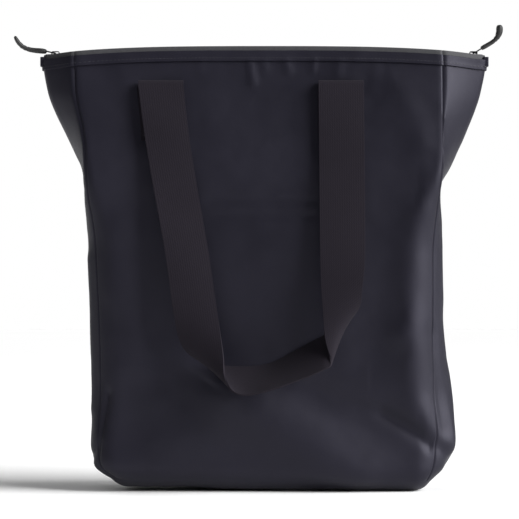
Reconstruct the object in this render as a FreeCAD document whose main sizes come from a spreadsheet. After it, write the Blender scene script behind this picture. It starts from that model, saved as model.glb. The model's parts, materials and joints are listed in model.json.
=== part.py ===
import FreeCAD, Part

import math
import os

import Sketcher

# A foldable zip-top tote bag: two walls, a base and two gussets of thin coated cloth,
# a two-slider zip along the mouth and two webbing handles.  The front faces -Y, +Z is up,
# and the origin is the middle of the base, on the surface that the bag stands on.

doc = FreeCAD.newDocument("tote_bag")

# ---------------------------------------------------------------- driving dimensions, mm
sheet = doc.addObject("Spreadsheet::Sheet", "Dims")
dimensions = {
    "panel_width": 344,         # front and back walls, seam to seam
    "base_depth": 92,           # outside of the front wall to outside of the back wall
    "waist_height": 288,        # where the walls start to lean in towards the mouth
    "upper_height": 126,        # from the waist up to the top of the hem
    "lean_angle": 12,           # how far the upper walls lean in, degrees
    "lean_radius": 200,         # the bend between the upright and the leaning wall
    "base_radius": 22,          # rounding where the walls run into the base
    "cloth": 1.2,               # wall cloth with its coating
    "bend_gap": 0.4,            # slack between the lower and the upper part of a wall
    "gusset_fold": 5.5,         # half width of the rounded fold in the middle of a gusset
    "hem_drop": 10,             # height of the folded hem
    "hem_cloth": 1.2,
    "binding_width": 9,         # tape over the raw edges of the inner seams
    "binding_cloth": 0.8,
    "tape_drop": 14,            # zip tape below the rim
    "tape_cloth": 0.8,
    "tape_play": 0.25,          # slack of the tape and coil inside the folded gussets
    "coil_rise": 2,             # middle of the zip coil above the rim
    "coil_radius": 1.2,
    "end_tab_length": 4.5,      # folded cloth over the two ends of the zip
    "end_tab_width": 13,
    "slider_length": 11,
    "slider_width": 10,
    "slider_plate": 1.2,
    "slider_play": 0.6,         # free height above and below the coil
    "slider_setback": 6.3,      # from the end of the zip to the middle of the slider
    "slider_neck": 1.6,         # wedge between the two coils
    "lower_plate_width": 6.6,
    "bridge_height": 2.4,       # free height under the slider's bridge
    "bridge_span": 8,
    "bridge_width": 2,
    "bridge_bar": 1,
    "pull_width": 6.4,
    "pull_plate": 1.2,
    "pull_length": 17,          # from the pivot to the end of the metal tab
    "pull_play": 0.5,
    "tongue_width": 3,
    "tongue_length": 6,
    "socket_play": 0.1,
    "grip_length": 31,
    "grip_width": 9,
    "grip_neck": 5,
    "grip_height": 5,
    "grip_rounding": 1.2,
    "grip_neck_share": 0.45,    # how much of the grip is its narrow neck
    "nose_share": 0.7,          # width of a slider's nose and tail against its shoulders
    "tail_share": 0.65,
    "left_pull_pitch": 14,      # how far each pull stands up from level, degrees
    "right_pull_pitch": 32,
    "webbing_width": 43,
    "webbing": 1.8,
    "handle_spacing": 172,      # middle to middle of the two sewn ends
    "handle_shift": -13,        # both ends sit this far off the middle of the wall
    "handle_fold_drop": 26,     # from the rim down to where the webbing folds over
    "handle_fold_radius": 3,
    "sewn_rise": 2,             # lower edge of the inner patches above the bend
    "patch_margin": 4,          # inner patch beyond the webbing
    "patch_cloth": 1,
    "pocket_width": 170,
    "pocket_height": 150,
    "pocket_level": 105,        # bottom of the inner pocket
    "pocket_cloth": 0.8,
    "pocket_hem": 12,
}
for row, (alias, number) in enumerate(dimensions.items(), start=1):
    sheet.set(f"A{row}", alias)
    sheet.set(f"B{row}", str(number))
    sheet.setAlias(f"B{row}", alias)
doc.recompute()


class Size:
    # a length together with the sheet expression that gives it

    def __init__(self, value, text):
        self.value = value
        self.text = text

    def __add__(self, other):
        return combine(self, "+", other, lambda a, b: a + b)

    def __radd__(self, other):
        return combine(other, "+", self, lambda a, b: a + b)

    def __sub__(self, other):
        return combine(self, "-", other, lambda a, b: a - b)

    def __rsub__(self, other):
        return combine(other, "-", self, lambda a, b: a - b)

    def __mul__(self, other):
        return combine(self, "*", other, lambda a, b: a * b)

    def __rmul__(self, other):
        return combine(other, "*", self, lambda a, b: a * b)

    def __truediv__(self, other):
        return combine(self, "/", other, lambda a, b: a / b)

    def __neg__(self):
        return Size(-self.value, f"(-1 * {self.text})")


def sized(number):
    return number if isinstance(number, Size) else Size(float(number), f"({number})")


def combine(first, sign, second, action):
    first = sized(first)
    second = sized(second)
    return Size(action(first.value, second.value), f"({first.text} {sign} {second.text})")


def root(size):
    return Size(math.sqrt(size.value), f"sqrt({size.text})")


def sine(size):
    return Size(math.sin(math.radians(size.value)), f"sin({size.text})")


def cosine(size):
    return Size(math.cos(math.radians(size.value)), f"cos({size.text})")


def dim(alias):
    return Size(float(sheet.get(alias)), f"Dims.{alias}")


# ---------------------------------------------------------------- the shape of the walls
half_width = dim("panel_width") / 2
half_depth = dim("base_depth") / 2
waist = dim("waist_height")
rim = waist + dim("upper_height")
lean = dim("lean_angle")
bend = dim("lean_radius")
corner = dim("base_radius")
cloth = dim("cloth")
skin = cloth / cosine(lean)                     # the leaning cloth measured level
bend_top = waist + bend * sine(lean)
fold = dim("gusset_fold")


def on_bend(level):
    # half depth to the outer face of a wall, within the bend
    return half_depth - (bend - root(bend * bend - (level - waist) * (level - waist)))


def on_lean(level):
    # half depth to the outer face of a wall, above the bend
    at_bend_top = half_depth - bend + bend * cosine(lean)
    return at_bend_top - (level - bend_top) * sine(lean) / cosine(lean)


def gusset_reach(depth):
    # how far the fold of a gusset stands out where the walls are at this half depth
    leg = half_depth - fold
    return root(leg * leg - (depth - fold) * (depth - fold))


# ---------------------------------------------------------------- drawing helpers
def new_body(name):
    body = doc.addObject("PartDesign::Body", name)
    body.Label = name
    return body


def new_sketch(body, name, plane, offset=None):
    sketch = body.newObject("Sketcher::SketchObject", name)
    face = next(f for f in body.Origin.OriginFeatures if f.Role == plane)
    sketch.AttachmentSupport = [(face, "")]
    sketch.MapMode = "FlatFace"
    if offset is not None:
        sketch.setExpression("AttachmentOffset.Base.z", sized(offset).text)
    return sketch


def place_point(sketch, shape, point, across=None, up=None):
    # ties one point to the sketch's own axes
    for kind, axis, size in (("DistanceX", -2, across), ("DistanceY", -1, up)):
        if size is None:
            continue
        size = sized(size)
        if abs(size.value) < 1e-9:
            sketch.addConstraint(Sketcher.Constraint("PointOnObject", shape, point, axis))
            continue
        index = sketch.addConstraint(
            Sketcher.Constraint(kind, -1, 1, shape, point, size.value))
        sketch.setExpression(f"Constraints[{index}]", size.text)


def draw_polygon(sketch, corners):
    # a closed outline of straight lines, every corner tied to the sheet
    corners = [(sized(x), sized(y)) for x, y in corners]
    points = [FreeCAD.Vector(x.value, y.value, 0) for x, y in corners]
    first = sketch.GeometryCount
    for here, there in zip(points, points[1:] + points[:1]):
        sketch.addGeometry(Part.LineSegment(here, there))
    for index, (across, up) in enumerate(corners):
        line = first + index
        previous = first + (index - 1) % len(corners)
        sketch.addConstraint(Sketcher.Constraint("Coincident", previous, 2, line, 1))
        place_point(sketch, line, 1, across, up)


def draw_circle(sketch, across, up, radius):
    circle = sketch.addGeometry(
        Part.Circle(FreeCAD.Vector(across.value, up.value, 0), FreeCAD.Vector(0, 0, 1),
                    radius.value))
    place_point(sketch, circle, 3, across, up)
    index = sketch.addConstraint(Sketcher.Constraint("Radius", circle, radius.value))
    sketch.setExpression(f"Constraints[{index}]", radius.text)


def draw_arc(sketch, across, up, radius, start, end):
    # an arc by its middle and radius, from start to end in degrees anticlockwise
    circle = Part.Circle(FreeCAD.Vector(across.value, up.value, 0), FreeCAD.Vector(0, 0, 1),
                         radius.value)
    arc = sketch.addGeometry(
        Part.ArcOfCircle(circle, math.radians(start), math.radians(end)))
    place_point(sketch, arc, 3, across, up)
    index = sketch.addConstraint(Sketcher.Constraint("Radius", arc, radius.value))
    sketch.setExpression(f"Constraints[{index}]", radius.text)
    return arc


def draw_line(sketch, start, end):
    points = [FreeCAD.Vector(x.value, y.value, 0) for x, y in (start, end)]
    return sketch.addGeometry(Part.LineSegment(*points))


def pad(body, sketch, length, name="pad"):
    feature = body.newObject("PartDesign::Pad", f"{body.Name}_{name}")
    feature.Profile = sketch
    feature.setExpression("Length", sized(length).text)
    sketch.Visibility = False
    return feature


def pad_along_x(body, corners, start, length, name="outline"):
    # corners are (y, z)
    sketch = new_sketch(body, f"{body.Name}_{name}", "YZ_Plane", start)
    draw_polygon(sketch, corners)
    return pad(body, sketch, length, f"{name}_pad")


def pad_up(body, corners, start, length, name="outline"):
    # corners are (x, y)
    sketch = new_sketch(body, f"{body.Name}_{name}", "XY_Plane", start)
    draw_polygon(sketch, corners)
    return pad(body, sketch, length, f"{name}_pad")


def box_corners(low_x, low_y, high_x, high_y):
    return [(low_x, low_y), (high_x, low_y), (high_x, high_y), (low_x, high_y)]


def loft_up(body, outlines, name="loft"):
    # outlines are (level, corners), lowest first
    sketches = []
    for index, (level, corners) in enumerate(outlines):
        sketch = new_sketch(body, f"{body.Name}_{name}_{index}", "XY_Plane", level)
        draw_polygon(sketch, corners)
        sketches.append(sketch)
    feature = body.newObject("PartDesign::AdditiveLoft", f"{body.Name}_{name}")
    feature.Profile = sketches[0]
    feature.Sections = sketches[1:]
    feature.Ruled = True
    return feature


def lean_band(side, low, high, outer, inner):
    # corners (y, z) of a strip on a leaning wall, from inset outer to inset inner
    return [
        (side * (on_lean(low) - outer), low),
        (side * (on_lean(high) - outer), high),
        (side * (on_lean(high) - inner), high),
        (side * (on_lean(low) - inner), low),
    ]


def sweep(body, path, profile, name):
    feature = body.newObject("PartDesign::AdditivePipe", f"{body.Name}_{name}")
    feature.Profile = profile
    feature.Spine = path
    return feature


def lower_wall(body, side, start, end, inset, thickness, name="lower"):
    # a strip that runs from the base, round the base radius and up to the waist
    middle = inset + thickness / 2
    radius = corner - middle
    path = new_sketch(body, f"{body.Name}_{name}_path", "YZ_Plane")
    turn = (180, 270) if side < 0 else (270, 360)
    foot, knee = (2, 1) if side < 0 else (1, 2)
    arc = draw_arc(path, side * (half_depth - corner), corner, radius, *turn)
    path.addConstraint(Sketcher.Constraint("Vertical", arc, 3, arc, foot))
    path.addConstraint(Sketcher.Constraint("Horizontal", arc, 3, arc, knee))
    face = side * (half_depth - middle)
    upright = draw_line(path, (face, corner), (face, waist - dim("bend_gap")))
    path.addConstraint(Sketcher.Constraint("Coincident", arc, knee, upright, 1))
    path.addConstraint(Sketcher.Constraint("Vertical", upright))
    place_point(path, upright, 2, up=waist - dim("bend_gap"))
    section = new_sketch(body, f"{body.Name}_{name}_section", "XZ_Plane",
                         -side * (half_depth - corner))
    draw_polygon(section, box_corners(start, inset, end, inset + thickness))
    return sweep(body, path, section, f"{name}_sweep")


def upper_wall(body, side, start, end, inset, thickness, top, name="upper"):
    # a strip that runs from the waist, round the bend and up the lean to top
    middle = inset + thickness / 2
    radius = bend - middle
    path = new_sketch(body, f"{body.Name}_{name}_path", "YZ_Plane")
    turn = (180 - lean.value, 180) if side < 0 else (0, lean.value)
    foot, knee = (2, 1) if side < 0 else (1, 2)
    knee_level = waist + radius * sine(lean)
    arc = draw_arc(path, side * (half_depth - bend), waist, radius, *turn)
    path.addConstraint(Sketcher.Constraint("Horizontal", arc, 3, arc, foot))
    place_point(path, arc, knee, up=knee_level)
    knee_point = (side * (half_depth - bend + radius * cosine(lean)), knee_level)
    top_point = (side * (on_lean(top) - middle / cosine(lean)), top)
    straight = draw_line(path, knee_point, top_point)
    path.addConstraint(Sketcher.Constraint("Coincident", arc, knee, straight, 1))
    place_point(path, straight, 2, *top_point)
    section = new_sketch(body, f"{body.Name}_{name}_section", "XY_Plane", waist)
    near = side * (half_depth - inset)
    far = side * (half_depth - inset - thickness)
    draw_polygon(section, box_corners(start, near, end, far))
    return sweep(body, path, section, f"{name}_sweep")


# ---------------------------------------------------------------- walls, base, gussets
parts = []


def keep(body):
    parts.append(body)
    return body


def walls(side_name, side):
    panel = keep(new_body(f"{side_name}_panel"))
    lower_wall(panel, side, -half_width, half_width, sized(0), cloth)
    top = keep(new_body(f"{side_name}_panel_top"))
    upper_wall(top, side, -half_width, half_width, sized(0), cloth, rim)


def base():
    body = keep(new_body("base_panel"))
    reach = half_depth - corner
    pad_up(body, box_corners(-half_width, -reach, half_width, reach), sized(0), cloth)


def gusset_outline(end, depth):
    # the gusset cut level, where the walls are at this half depth
    reach = gusset_reach(depth)
    wall = cloth * (half_depth - fold) / (depth - fold)
    inner_fold = fold - cloth / 2
    seam = end * half_width
    near = end * (half_width + wall)
    far = end * (half_width + reach + wall)
    inside = end * (half_width + reach)
    return [
        (seam, -depth), (near, -depth), (far, -fold), (far, fold), (near, depth),
        (seam, depth), (seam, depth - cloth), (inside, inner_fold),
        (inside, -inner_fold), (seam, cloth - depth),
    ]


def gusset(end_name, end):
    body = keep(new_body(f"{end_name}_gusset"))
    start = half_width if end > 0 else -half_width - cloth
    plate = new_sketch(body, f"{body.Name}_plate", "YZ_Plane", start)
    foot = half_depth - corner
    left = draw_arc(plate, -foot, corner, corner, 180, 270)
    bottom = draw_line(plate, (-foot, sized(0)), (foot, sized(0)))
    right = draw_arc(plate, foot, corner, corner, 270, 360)
    rise = draw_line(plate, (half_depth, corner), (half_depth, waist))
    top = draw_line(plate, (half_depth, waist), (-half_depth, waist))
    fall = draw_line(plate, (-half_depth, waist), (-half_depth, corner))
    loop = [(left, 1, 2), (bottom, 1, 2), (right, 1, 2), (rise, 1, 2), (top, 1, 2),
            (fall, 1, 2)]
    for (here, _, last), (there, first, _) in zip(loop, loop[1:] + loop[:1]):
        plate.addConstraint(Sketcher.Constraint("Coincident", here, last, there, first))
    for arc, foot_point, knee_point in ((left, 2, 1), (right, 1, 2)):
        plate.addConstraint(Sketcher.Constraint("Vertical", arc, 3, arc, foot_point))
        plate.addConstraint(Sketcher.Constraint("Horizontal", arc, 3, arc, knee_point))
    place_point(plate, top, 1, half_depth, waist)
    place_point(plate, top, 2, -half_depth, waist)
    pad(body, plate, cloth, "plate_pad")

    bend_levels = [waist + bend * sine(lean) * share for share in (0, 0.2, 0.5)]
    lean_levels = [bend_top + (rim - bend_top) * share for share in (0, 0.3, 0.65, 1)]
    outlines = [(level, gusset_outline(end, on_bend(level))) for level in bend_levels]
    outlines += [(level, gusset_outline(end, on_lean(level))) for level in lean_levels]
    loft_up(body, outlines)


# ---------------------------------------------------------------- hems
def wall_hem(side_name, side):
    body = keep(new_body(f"{side_name}_hem"))
    band = lean_band(side, rim - dim("hem_drop"), rim, -dim("hem_cloth"), 0)
    pad_along_x(body, band, -half_width, dim("panel_width"))


def gusset_hem_outline(end, level):
    depth = on_lean(level)
    reach = gusset_reach(depth)
    wall = cloth * (half_depth - fold) / (depth - fold)
    hem = dim("hem_cloth")
    seam = end * half_width
    near = end * (half_width + wall)
    far = end * (half_width + reach + wall)
    outside = end * (half_width + reach + wall + hem)
    return [
        (seam, -depth - hem), (outside, -fold - hem), (outside, fold + hem),
        (seam, depth + hem), (seam, depth), (near, depth), (far, fold), (far, -fold),
        (near, -depth), (seam, -depth),
    ]


def gusset_hem(end_name, end):
    body = keep(new_body(f"{end_name}_gusset_hem"))
    levels = (rim - dim("hem_drop"), rim)
    loft_up(body, [(level, gusset_hem_outline(end, level)) for level in levels])


# ---------------------------------------------------------------- the zip
coil_level = rim + dim("coil_rise")
tape = dim("tape_cloth")
coil = dim("coil_radius")
zip_end = half_width + gusset_reach(on_lean(coil_level))
slider_middle = zip_end - dim("slider_setback")


def wall_zip(side_name, side):
    tape_body = keep(new_body(f"{side_name}_zip_tape"))
    band = lean_band(side, rim - dim("tape_drop"), coil_level + coil, skin, skin + tape)
    pad_along_x(tape_body, band, -half_width, dim("panel_width"))
    coil_body = keep(new_body(f"{side_name}_zip_coil"))
    sketch = new_sketch(coil_body, f"{coil_body.Name}_round", "YZ_Plane", -half_width)
    middle = side * (on_lean(coil_level + coil) - skin - tape - coil)
    draw_circle(sketch, middle, coil_level, coil)
    pad(coil_body, sketch, dim("panel_width"))


def gusset_strip(end, side, level, outer, inner):
    # a strip inside one leg of a gusset, cut level, between two insets
    depth = on_lean(level)
    tip = end * (half_width + gusset_reach(depth) - dim("tape_play") * 2)
    seam = end * half_width
    inner_fold = fold - cloth / 2
    return [
        (seam, side * (depth - skin - outer)), (tip, side * (inner_fold - outer)),
        (tip, side * (inner_fold - inner)), (seam, side * (depth - skin - inner)),
    ]


def gusset_zip(end_name, end):
    tapes = keep(new_body(f"{end_name}_tape_ends"))
    coils = keep(new_body(f"{end_name}_coil_ends"))
    play = dim("tape_play")
    for body, low, high, outer, inner in (
        (tapes, rim - dim("tape_drop"), coil_level + coil, play, play + tape),
        (coils, coil_level - coil, coil_level + coil, play * 2 + tape, tape + coil * 2),
    ):
        body.AllowCompound = True
        for side_name, side in (("front", -1), ("back", 1)):
            outlines = [
                (level, gusset_strip(end, side, level, outer, inner)) for level in (low, high)
            ]
            loft_up(body, outlines, side_name)
    tab = keep(new_body(f"{end_name}_zip_end"))
    wall = cloth * (half_depth - fold) / (on_lean(rim) - fold)
    near = end * (half_width + gusset_reach(on_lean(rim)) + wall + dim("hem_cloth"))
    far = near + end * dim("end_tab_length")
    half = dim("end_tab_width") / 2
    pad_up(tab, box_corners(near, -half, far, half), rim - dim("hem_drop"), dim("hem_drop"))


# ---------------------------------------------------------------- sliders and pulls
plate = dim("slider_plate")
slot_top = coil_level + coil + dim("slider_play")
slot_bottom = coil_level - coil - dim("slider_play")
pivot_level = slot_top + plate + dim("bridge_height") / 2


def slider(end_name, end):
    body = keep(new_body(f"{end_name}_slider_body"))
    half = dim("slider_length") / 2
    wide = dim("slider_width") / 2
    narrow = dim("lower_plate_width") / 2
    nose = end * (slider_middle - half)
    tail = end * (slider_middle + half)
    nose_share = dim("nose_share")
    tail_share = dim("tail_share")
    for name, level, shoulder in (("top", slot_top, wide), ("under", slot_bottom - plate, narrow)):
        outline = [
            (nose, -shoulder * nose_share), (end * (slider_middle - half / 2), -shoulder),
            (end * (slider_middle + half / 3), -shoulder), (tail, -shoulder * tail_share),
            (tail, shoulder * tail_share), (end * (slider_middle + half / 3), shoulder),
            (end * (slider_middle - half / 2), shoulder), (nose, shoulder * nose_share),
        ]
        pad_up(body, outline, level, plate, name)
        if name == "top":
            neck = dim("slider_neck") / 2
            wedge = [
                (nose, -neck / 2), (end * slider_middle, -neck), (end * slider_middle, neck),
                (nose, neck / 2),
            ]
            pad_up(body, wedge, slot_bottom - plate, slot_top - slot_bottom + plate * 2, "neck")
    base_level = slot_top + plate
    reach = dim("bridge_span") / 2
    bar = dim("bridge_bar")
    inner = reach - bar
    bridge_top = base_level + dim("bridge_height") + bar
    side_view = [
        (slider_middle - reach, base_level), (slider_middle - inner, base_level),
        (slider_middle - inner, bridge_top - bar), (slider_middle + inner, bridge_top - bar),
        (slider_middle + inner, base_level), (slider_middle + reach, base_level),
        (slider_middle + reach, bridge_top - bar), (slider_middle + inner, bridge_top),
        (slider_middle - inner, bridge_top), (slider_middle - reach, bridge_top - bar),
    ]
    sketch = new_sketch(body, f"{body.Name}_bridge", "XZ_Plane", -dim("bridge_width") / 2)
    draw_polygon(sketch, [(end * across, up) for across, up in side_view])
    pad(body, sketch, dim("bridge_width"), "bridge_pad")


def turn_pull(body, end, pitch):
    # pulls are drawn level at the origin, pointing along +X, and then stood up at the pivot
    body.setExpression("Placement.Base.x", (end * slider_middle).text)
    body.setExpression("Placement.Base.z", pivot_level.text)
    turn = FreeCAD.Rotation(FreeCAD.Vector(0, 1, 0), -pitch)
    if end < 0:
        turn = FreeCAD.Rotation(FreeCAD.Vector(0, 1, 0), pitch - 180)
    body.Placement = FreeCAD.Placement(body.Placement.Base, turn)


def pull(end_name, end):
    pitch = dim(f"{end_name}_pull_pitch").value
    half = dim("pull_width") / 2
    thick = dim("pull_plate")
    length = dim("pull_length")
    eye = dim("bridge_span") / 2 + dim("pull_play") + thick / 2
    tongue = dim("tongue_width") / 2
    shoulder = length - dim("tongue_length")
    nose_share = dim("nose_share")

    tab = keep(new_body(f"{end_name}_pull_tab"))
    outline = [
        (-thick / 2, -half), (shoulder - half / 2, -half), (shoulder, -half * nose_share),
        (shoulder, -tongue), (length, -tongue), (length, tongue), (shoulder, tongue),
        (shoulder, half * nose_share), (shoulder - half / 2, half), (-thick / 2, half),
    ]
    pad_up(tab, outline, -thick / 2, thick)
    slot = new_sketch(tab, f"{tab.Name}_slot", "XY_Plane", thick / 2)
    slot_half = dim("bridge_width") / 2 + dim("pull_play")
    draw_polygon(slot, box_corners(thick / 2, -slot_half, eye, slot_half))
    cut = tab.newObject("PartDesign::Pocket", f"{tab.Name}_slot_cut")
    cut.Profile = slot
    cut.setExpression("Length", thick.text)

    grip = keep(new_body(f"{end_name}_pull_grip"))
    neck = dim("grip_neck") / 2
    wide = dim("grip_width") / 2
    end_of_grip = shoulder + dim("grip_length")
    end_of_neck = shoulder + dim("grip_length") * dim("grip_neck_share")
    outline = [
        (shoulder, -neck), (end_of_neck, -neck),
        (end_of_grip - wide * 1.6, -wide), (end_of_grip - wide / 2, -wide),
        (end_of_grip, -wide / 2), (end_of_grip, wide / 2), (end_of_grip - wide / 2, wide),
        (end_of_grip - wide * 1.6, wide),
        (end_of_neck, neck), (shoulder, neck),
    ]
    solid = pad_up(grip, outline, -dim("grip_height") / 2, dim("grip_height"))
    doc.recompute()
    rims = [
        f"Edge{index}" for index, edge in enumerate(solid.Shape.Edges, start=1)
        if edge.BoundBox.ZLength < 1e-6
    ]
    rounding = grip.newObject("PartDesign::Fillet", f"{grip.Name}_rounding")
    rounding.Base = (solid, rims)
    rounding.setExpression("Radius", dim("grip_rounding").text)
    play = dim("socket_play")
    socket = new_sketch(grip, f"{grip.Name}_socket", "XY_Plane", thick / 2 + play)
    draw_polygon(socket, box_corners(shoulder, -tongue - play, length + play, tongue + play))
    hollow = grip.newObject("PartDesign::Pocket", f"{grip.Name}_socket_cut")
    hollow.Profile = socket
    hollow.setExpression("Length", (thick + play * 2).text)
    turn_pull(tab, end, pitch)
    turn_pull(grip, end, pitch)


# ---------------------------------------------------------------- handles
webbing = dim("webbing")
fold_level = rim - dim("handle_fold_drop")
sewn_face = on_lean(fold_level)                 # outer face of the wall at the fold
fold_radius = dim("handle_fold_radius")
fold_middle = sewn_face + webbing + fold_radius
end_middles = [
    dim("handle_shift") + dim("handle_spacing") / 2 * end for end in (-1, 1)
]

# Route of the webbing from the left fold to the right fold.  Each station is one pair of
# points, on the inner and the outer edge: across from the sewn end above it, out from the
# upright wall, and down from the fold.
left_route = [
    ((21.5, -8.1, 0), (-21.5, -8.1, 0)),
    ((27, 1, 49), (-15.5, 1, 44)),
    ((35, 10, 96), (-8, 10, 90)),
    ((46.5, 20, 162), (4, 20, 154)),
    ((56, 29, 225), (13, 26, 218)),
    ((59.5, 35, 253), (20, 20, 246)),
    ((60.5, 40, 275), (33, 13, 260)),
    ((68, 42.5, 290), (53, 10, 267)),
    ((83, 43, 294), (79, 9, 268.5)),
]
right_route = [
    ((-65, 44, 288), (-68, 8, 266)),
    ((-39, 43, 279), (-44, 8, 254)),
    ((-19, 41, 271), (-16, 12, 239)),
    ((-10, 37, 264), (2, 14, 230)),
    ((-16, 30, 238), (16, 23, 212)),
    ((-18, 26, 212), (19, 24, 192)),
    ((-20, 20, 173), (21.5, 20, 164)),
    ((-20.5, 10, 103), (21.5, 10, 101)),
    ((-21, 1, 48), (21.5, 1, 47)),
    ((-21.5, -8.1, 0), (21.5, -8.1, 0)),
]


def webbing_edges(side):
    # the stations as points, with the first and last on the folds
    inner_edge = []
    outer_edge = []
    for middle, route in zip(end_middles, (left_route, right_route)):
        for pair in route:
            for edge, (across, out, down) in zip((inner_edge, outer_edge), pair):
                depth = half_depth.value + out
                if down == 0:
                    depth = (fold_middle + fold_radius + webbing / 2).value
                edge.append(FreeCAD.Vector(middle.value + across, side * depth,
                                           fold_level.value - down))
    return inner_edge, outer_edge


def smoothed(points, steps):
    # a smooth curve through the points, with steps between one and the next
    curve = Part.BSplineCurve()
    knots = list(range(len(points)))
    curve.interpolate(Points=points, Parameters=knots)
    return [curve.value(index / steps) for index in range((len(points) - 1) * steps + 1)]


def handle_loop(side_name, side):
    inner_edge, outer_edge = webbing_edges(side)
    inner_edge = smoothed(inner_edge, 3)
    outer_edge = smoothed(outer_edge, 3)
    middles = [(inner + outer) / 2 for inner, outer in zip(inner_edge, outer_edge)]
    half = dim("webbing_width").value / 2
    last = len(middles) - 1
    outlines = []
    for index, middle in enumerate(middles):
        along = middles[min(index + 1, last)] - middles[max(index - 1, 0)]
        if index in (0, last):
            along = FreeCAD.Vector(0, 0, -1 if index == 0 else 1)
        across = (outer_edge[index] - inner_edge[index]).normalize() * half
        through = along.cross(across).normalize() * (webbing.value / 2)
        outlines.append(Part.makePolygon([
            middle - across - through, middle + across - through,
            middle + across + through, middle - across + through,
            middle - across - through,
        ]))
    handle = doc.addObject("Part::Feature", f"{side_name}_handle")
    handle.Label = f"{side_name}_handle"
    handle.Shape = Part.makeLoft(outlines, True, True)
    parts.append(handle)


def handle_ends(side_name, side):
    width = dim("webbing_width")
    margin = dim("patch_margin")
    low = bend_top + dim("sewn_rise") + margin
    sewn = keep(new_body(f"{side_name}_handle_ends"))
    folds = keep(new_body(f"{side_name}_handle_folds"))
    patches = keep(new_body(f"{side_name}_handle_patches"))
    sewn.AllowCompound = True
    folds.AllowCompound = True
    patches.AllowCompound = True
    for name, middle in zip(("left", "right"), end_middles):
        start = middle - width / 2
        band = lean_band(side, low, fold_level, -webbing, 0)
        pad_along_x(sewn, band, start, width, name)
        inner = lean_band(side, low - margin, fold_level + margin, skin,
                          skin + dim("patch_cloth"))
        pad_along_x(patches, inner, start - margin, width + margin * 2, name)
        sketch = new_sketch(folds, f"{folds.Name}_{name}", "YZ_Plane", start)
        half_ring(sketch, side * fold_middle, fold_level, fold_radius, fold_radius + webbing)
        pad(folds, sketch, width, name)


def half_ring(sketch, across, up, inner, outer):
    # the upper half of a ring, closed by two level lines
    small = draw_arc(sketch, across, up, inner, 0, 180)
    large = draw_arc(sketch, across, up, outer, 0, 180)
    right = draw_line(sketch, (across + inner, up), (across + outer, up))
    left = draw_line(sketch, (across - outer, up), (across - inner, up))
    for pair in ((small, 1, right, 1), (right, 2, large, 1), (large, 2, left, 1),
                 (left, 2, small, 2)):
        sketch.addConstraint(Sketcher.Constraint("Coincident", *pair))
    for arc, point in ((small, 1), (small, 2), (large, 1), (large, 2)):
        sketch.addConstraint(Sketcher.Constraint("Horizontal", arc, 3, arc, point))


# ---------------------------------------------------------------- inside the bag
def bindings(side_name, side):
    width = dim("binding_width")
    thick = dim("binding_cloth")
    lower = keep(new_body(f"{side_name}_bindings"))
    upper = keep(new_body(f"{side_name}_top_bindings"))
    top = rim - dim("tape_drop") - dim("bend_gap")
    for body in (lower, upper):
        body.AllowCompound = True
    for name, start in (("left", -half_width), ("right", half_width - width)):
        lower_wall(lower, side, start, start + width, cloth, thick, name)
        upper_wall(upper, side, start, start + width, cloth, thick, top, name)


def base_bindings():
    body = keep(new_body("base_bindings"))
    body.AllowCompound = True
    width = dim("binding_width")
    reach = half_depth - corner
    for name, start in (("left", -half_width), ("right", half_width - width)):
        outline = box_corners(start, -reach, start + width, reach)
        pad_up(body, outline, cloth, dim("binding_cloth"), name)


def inner_pocket():
    half = dim("pocket_width") / 2
    low = dim("pocket_level")
    wall = half_depth - cloth
    thick = dim("pocket_cloth")
    pouch = keep(new_body("stow_pocket"))
    outline = box_corners(-half, wall - thick, half, wall)
    pad_up(pouch, outline, low, dim("pocket_height"))
    hem = keep(new_body("stow_pocket_hem"))
    outline = box_corners(-half, wall - thick * 2, half, wall - thick)
    pad_up(hem, outline, low + dim("pocket_height") - dim("pocket_hem"), dim("pocket_hem"))


# ---------------------------------------------------------------- the bag
base()
base_bindings()
inner_pocket()
for side_name, side in (("front", -1), ("back", 1)):
    walls(side_name, side)
    wall_hem(side_name, side)
    wall_zip(side_name, side)
    bindings(side_name, side)
    handle_ends(side_name, side)
    handle_loop(side_name, side)
for end_name, end in (("left", -1), ("right", 1)):
    gusset(end_name, end)
    gusset_hem(end_name, end)
    gusset_zip(end_name, end)
    slider(end_name, end)
    pull(end_name, end)
doc.recompute()

for thing in doc.Objects:
    if "Invalid" in thing.State or "Error" in thing.State:
        raise RuntimeError(f"{thing.Name} failed: {thing.State}")
for part in parts:
    if part.Shape.isNull() or not part.Shape.isValid():
        raise RuntimeError(f"{part.Label} has no valid shape")

os.makedirs("parts", exist_ok=True)
for part in parts:
    part.Shape.exportStep(f"parts/{part.Label}.step")
    print(f"{part.Label:24s} {len(part.Shape.Solids)} solids {part.Shape.Volume:10.1f} mm3")
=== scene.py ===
import json
import math

import bpy
import numpy as np
from mathutils import Matrix, Vector, noise

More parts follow.
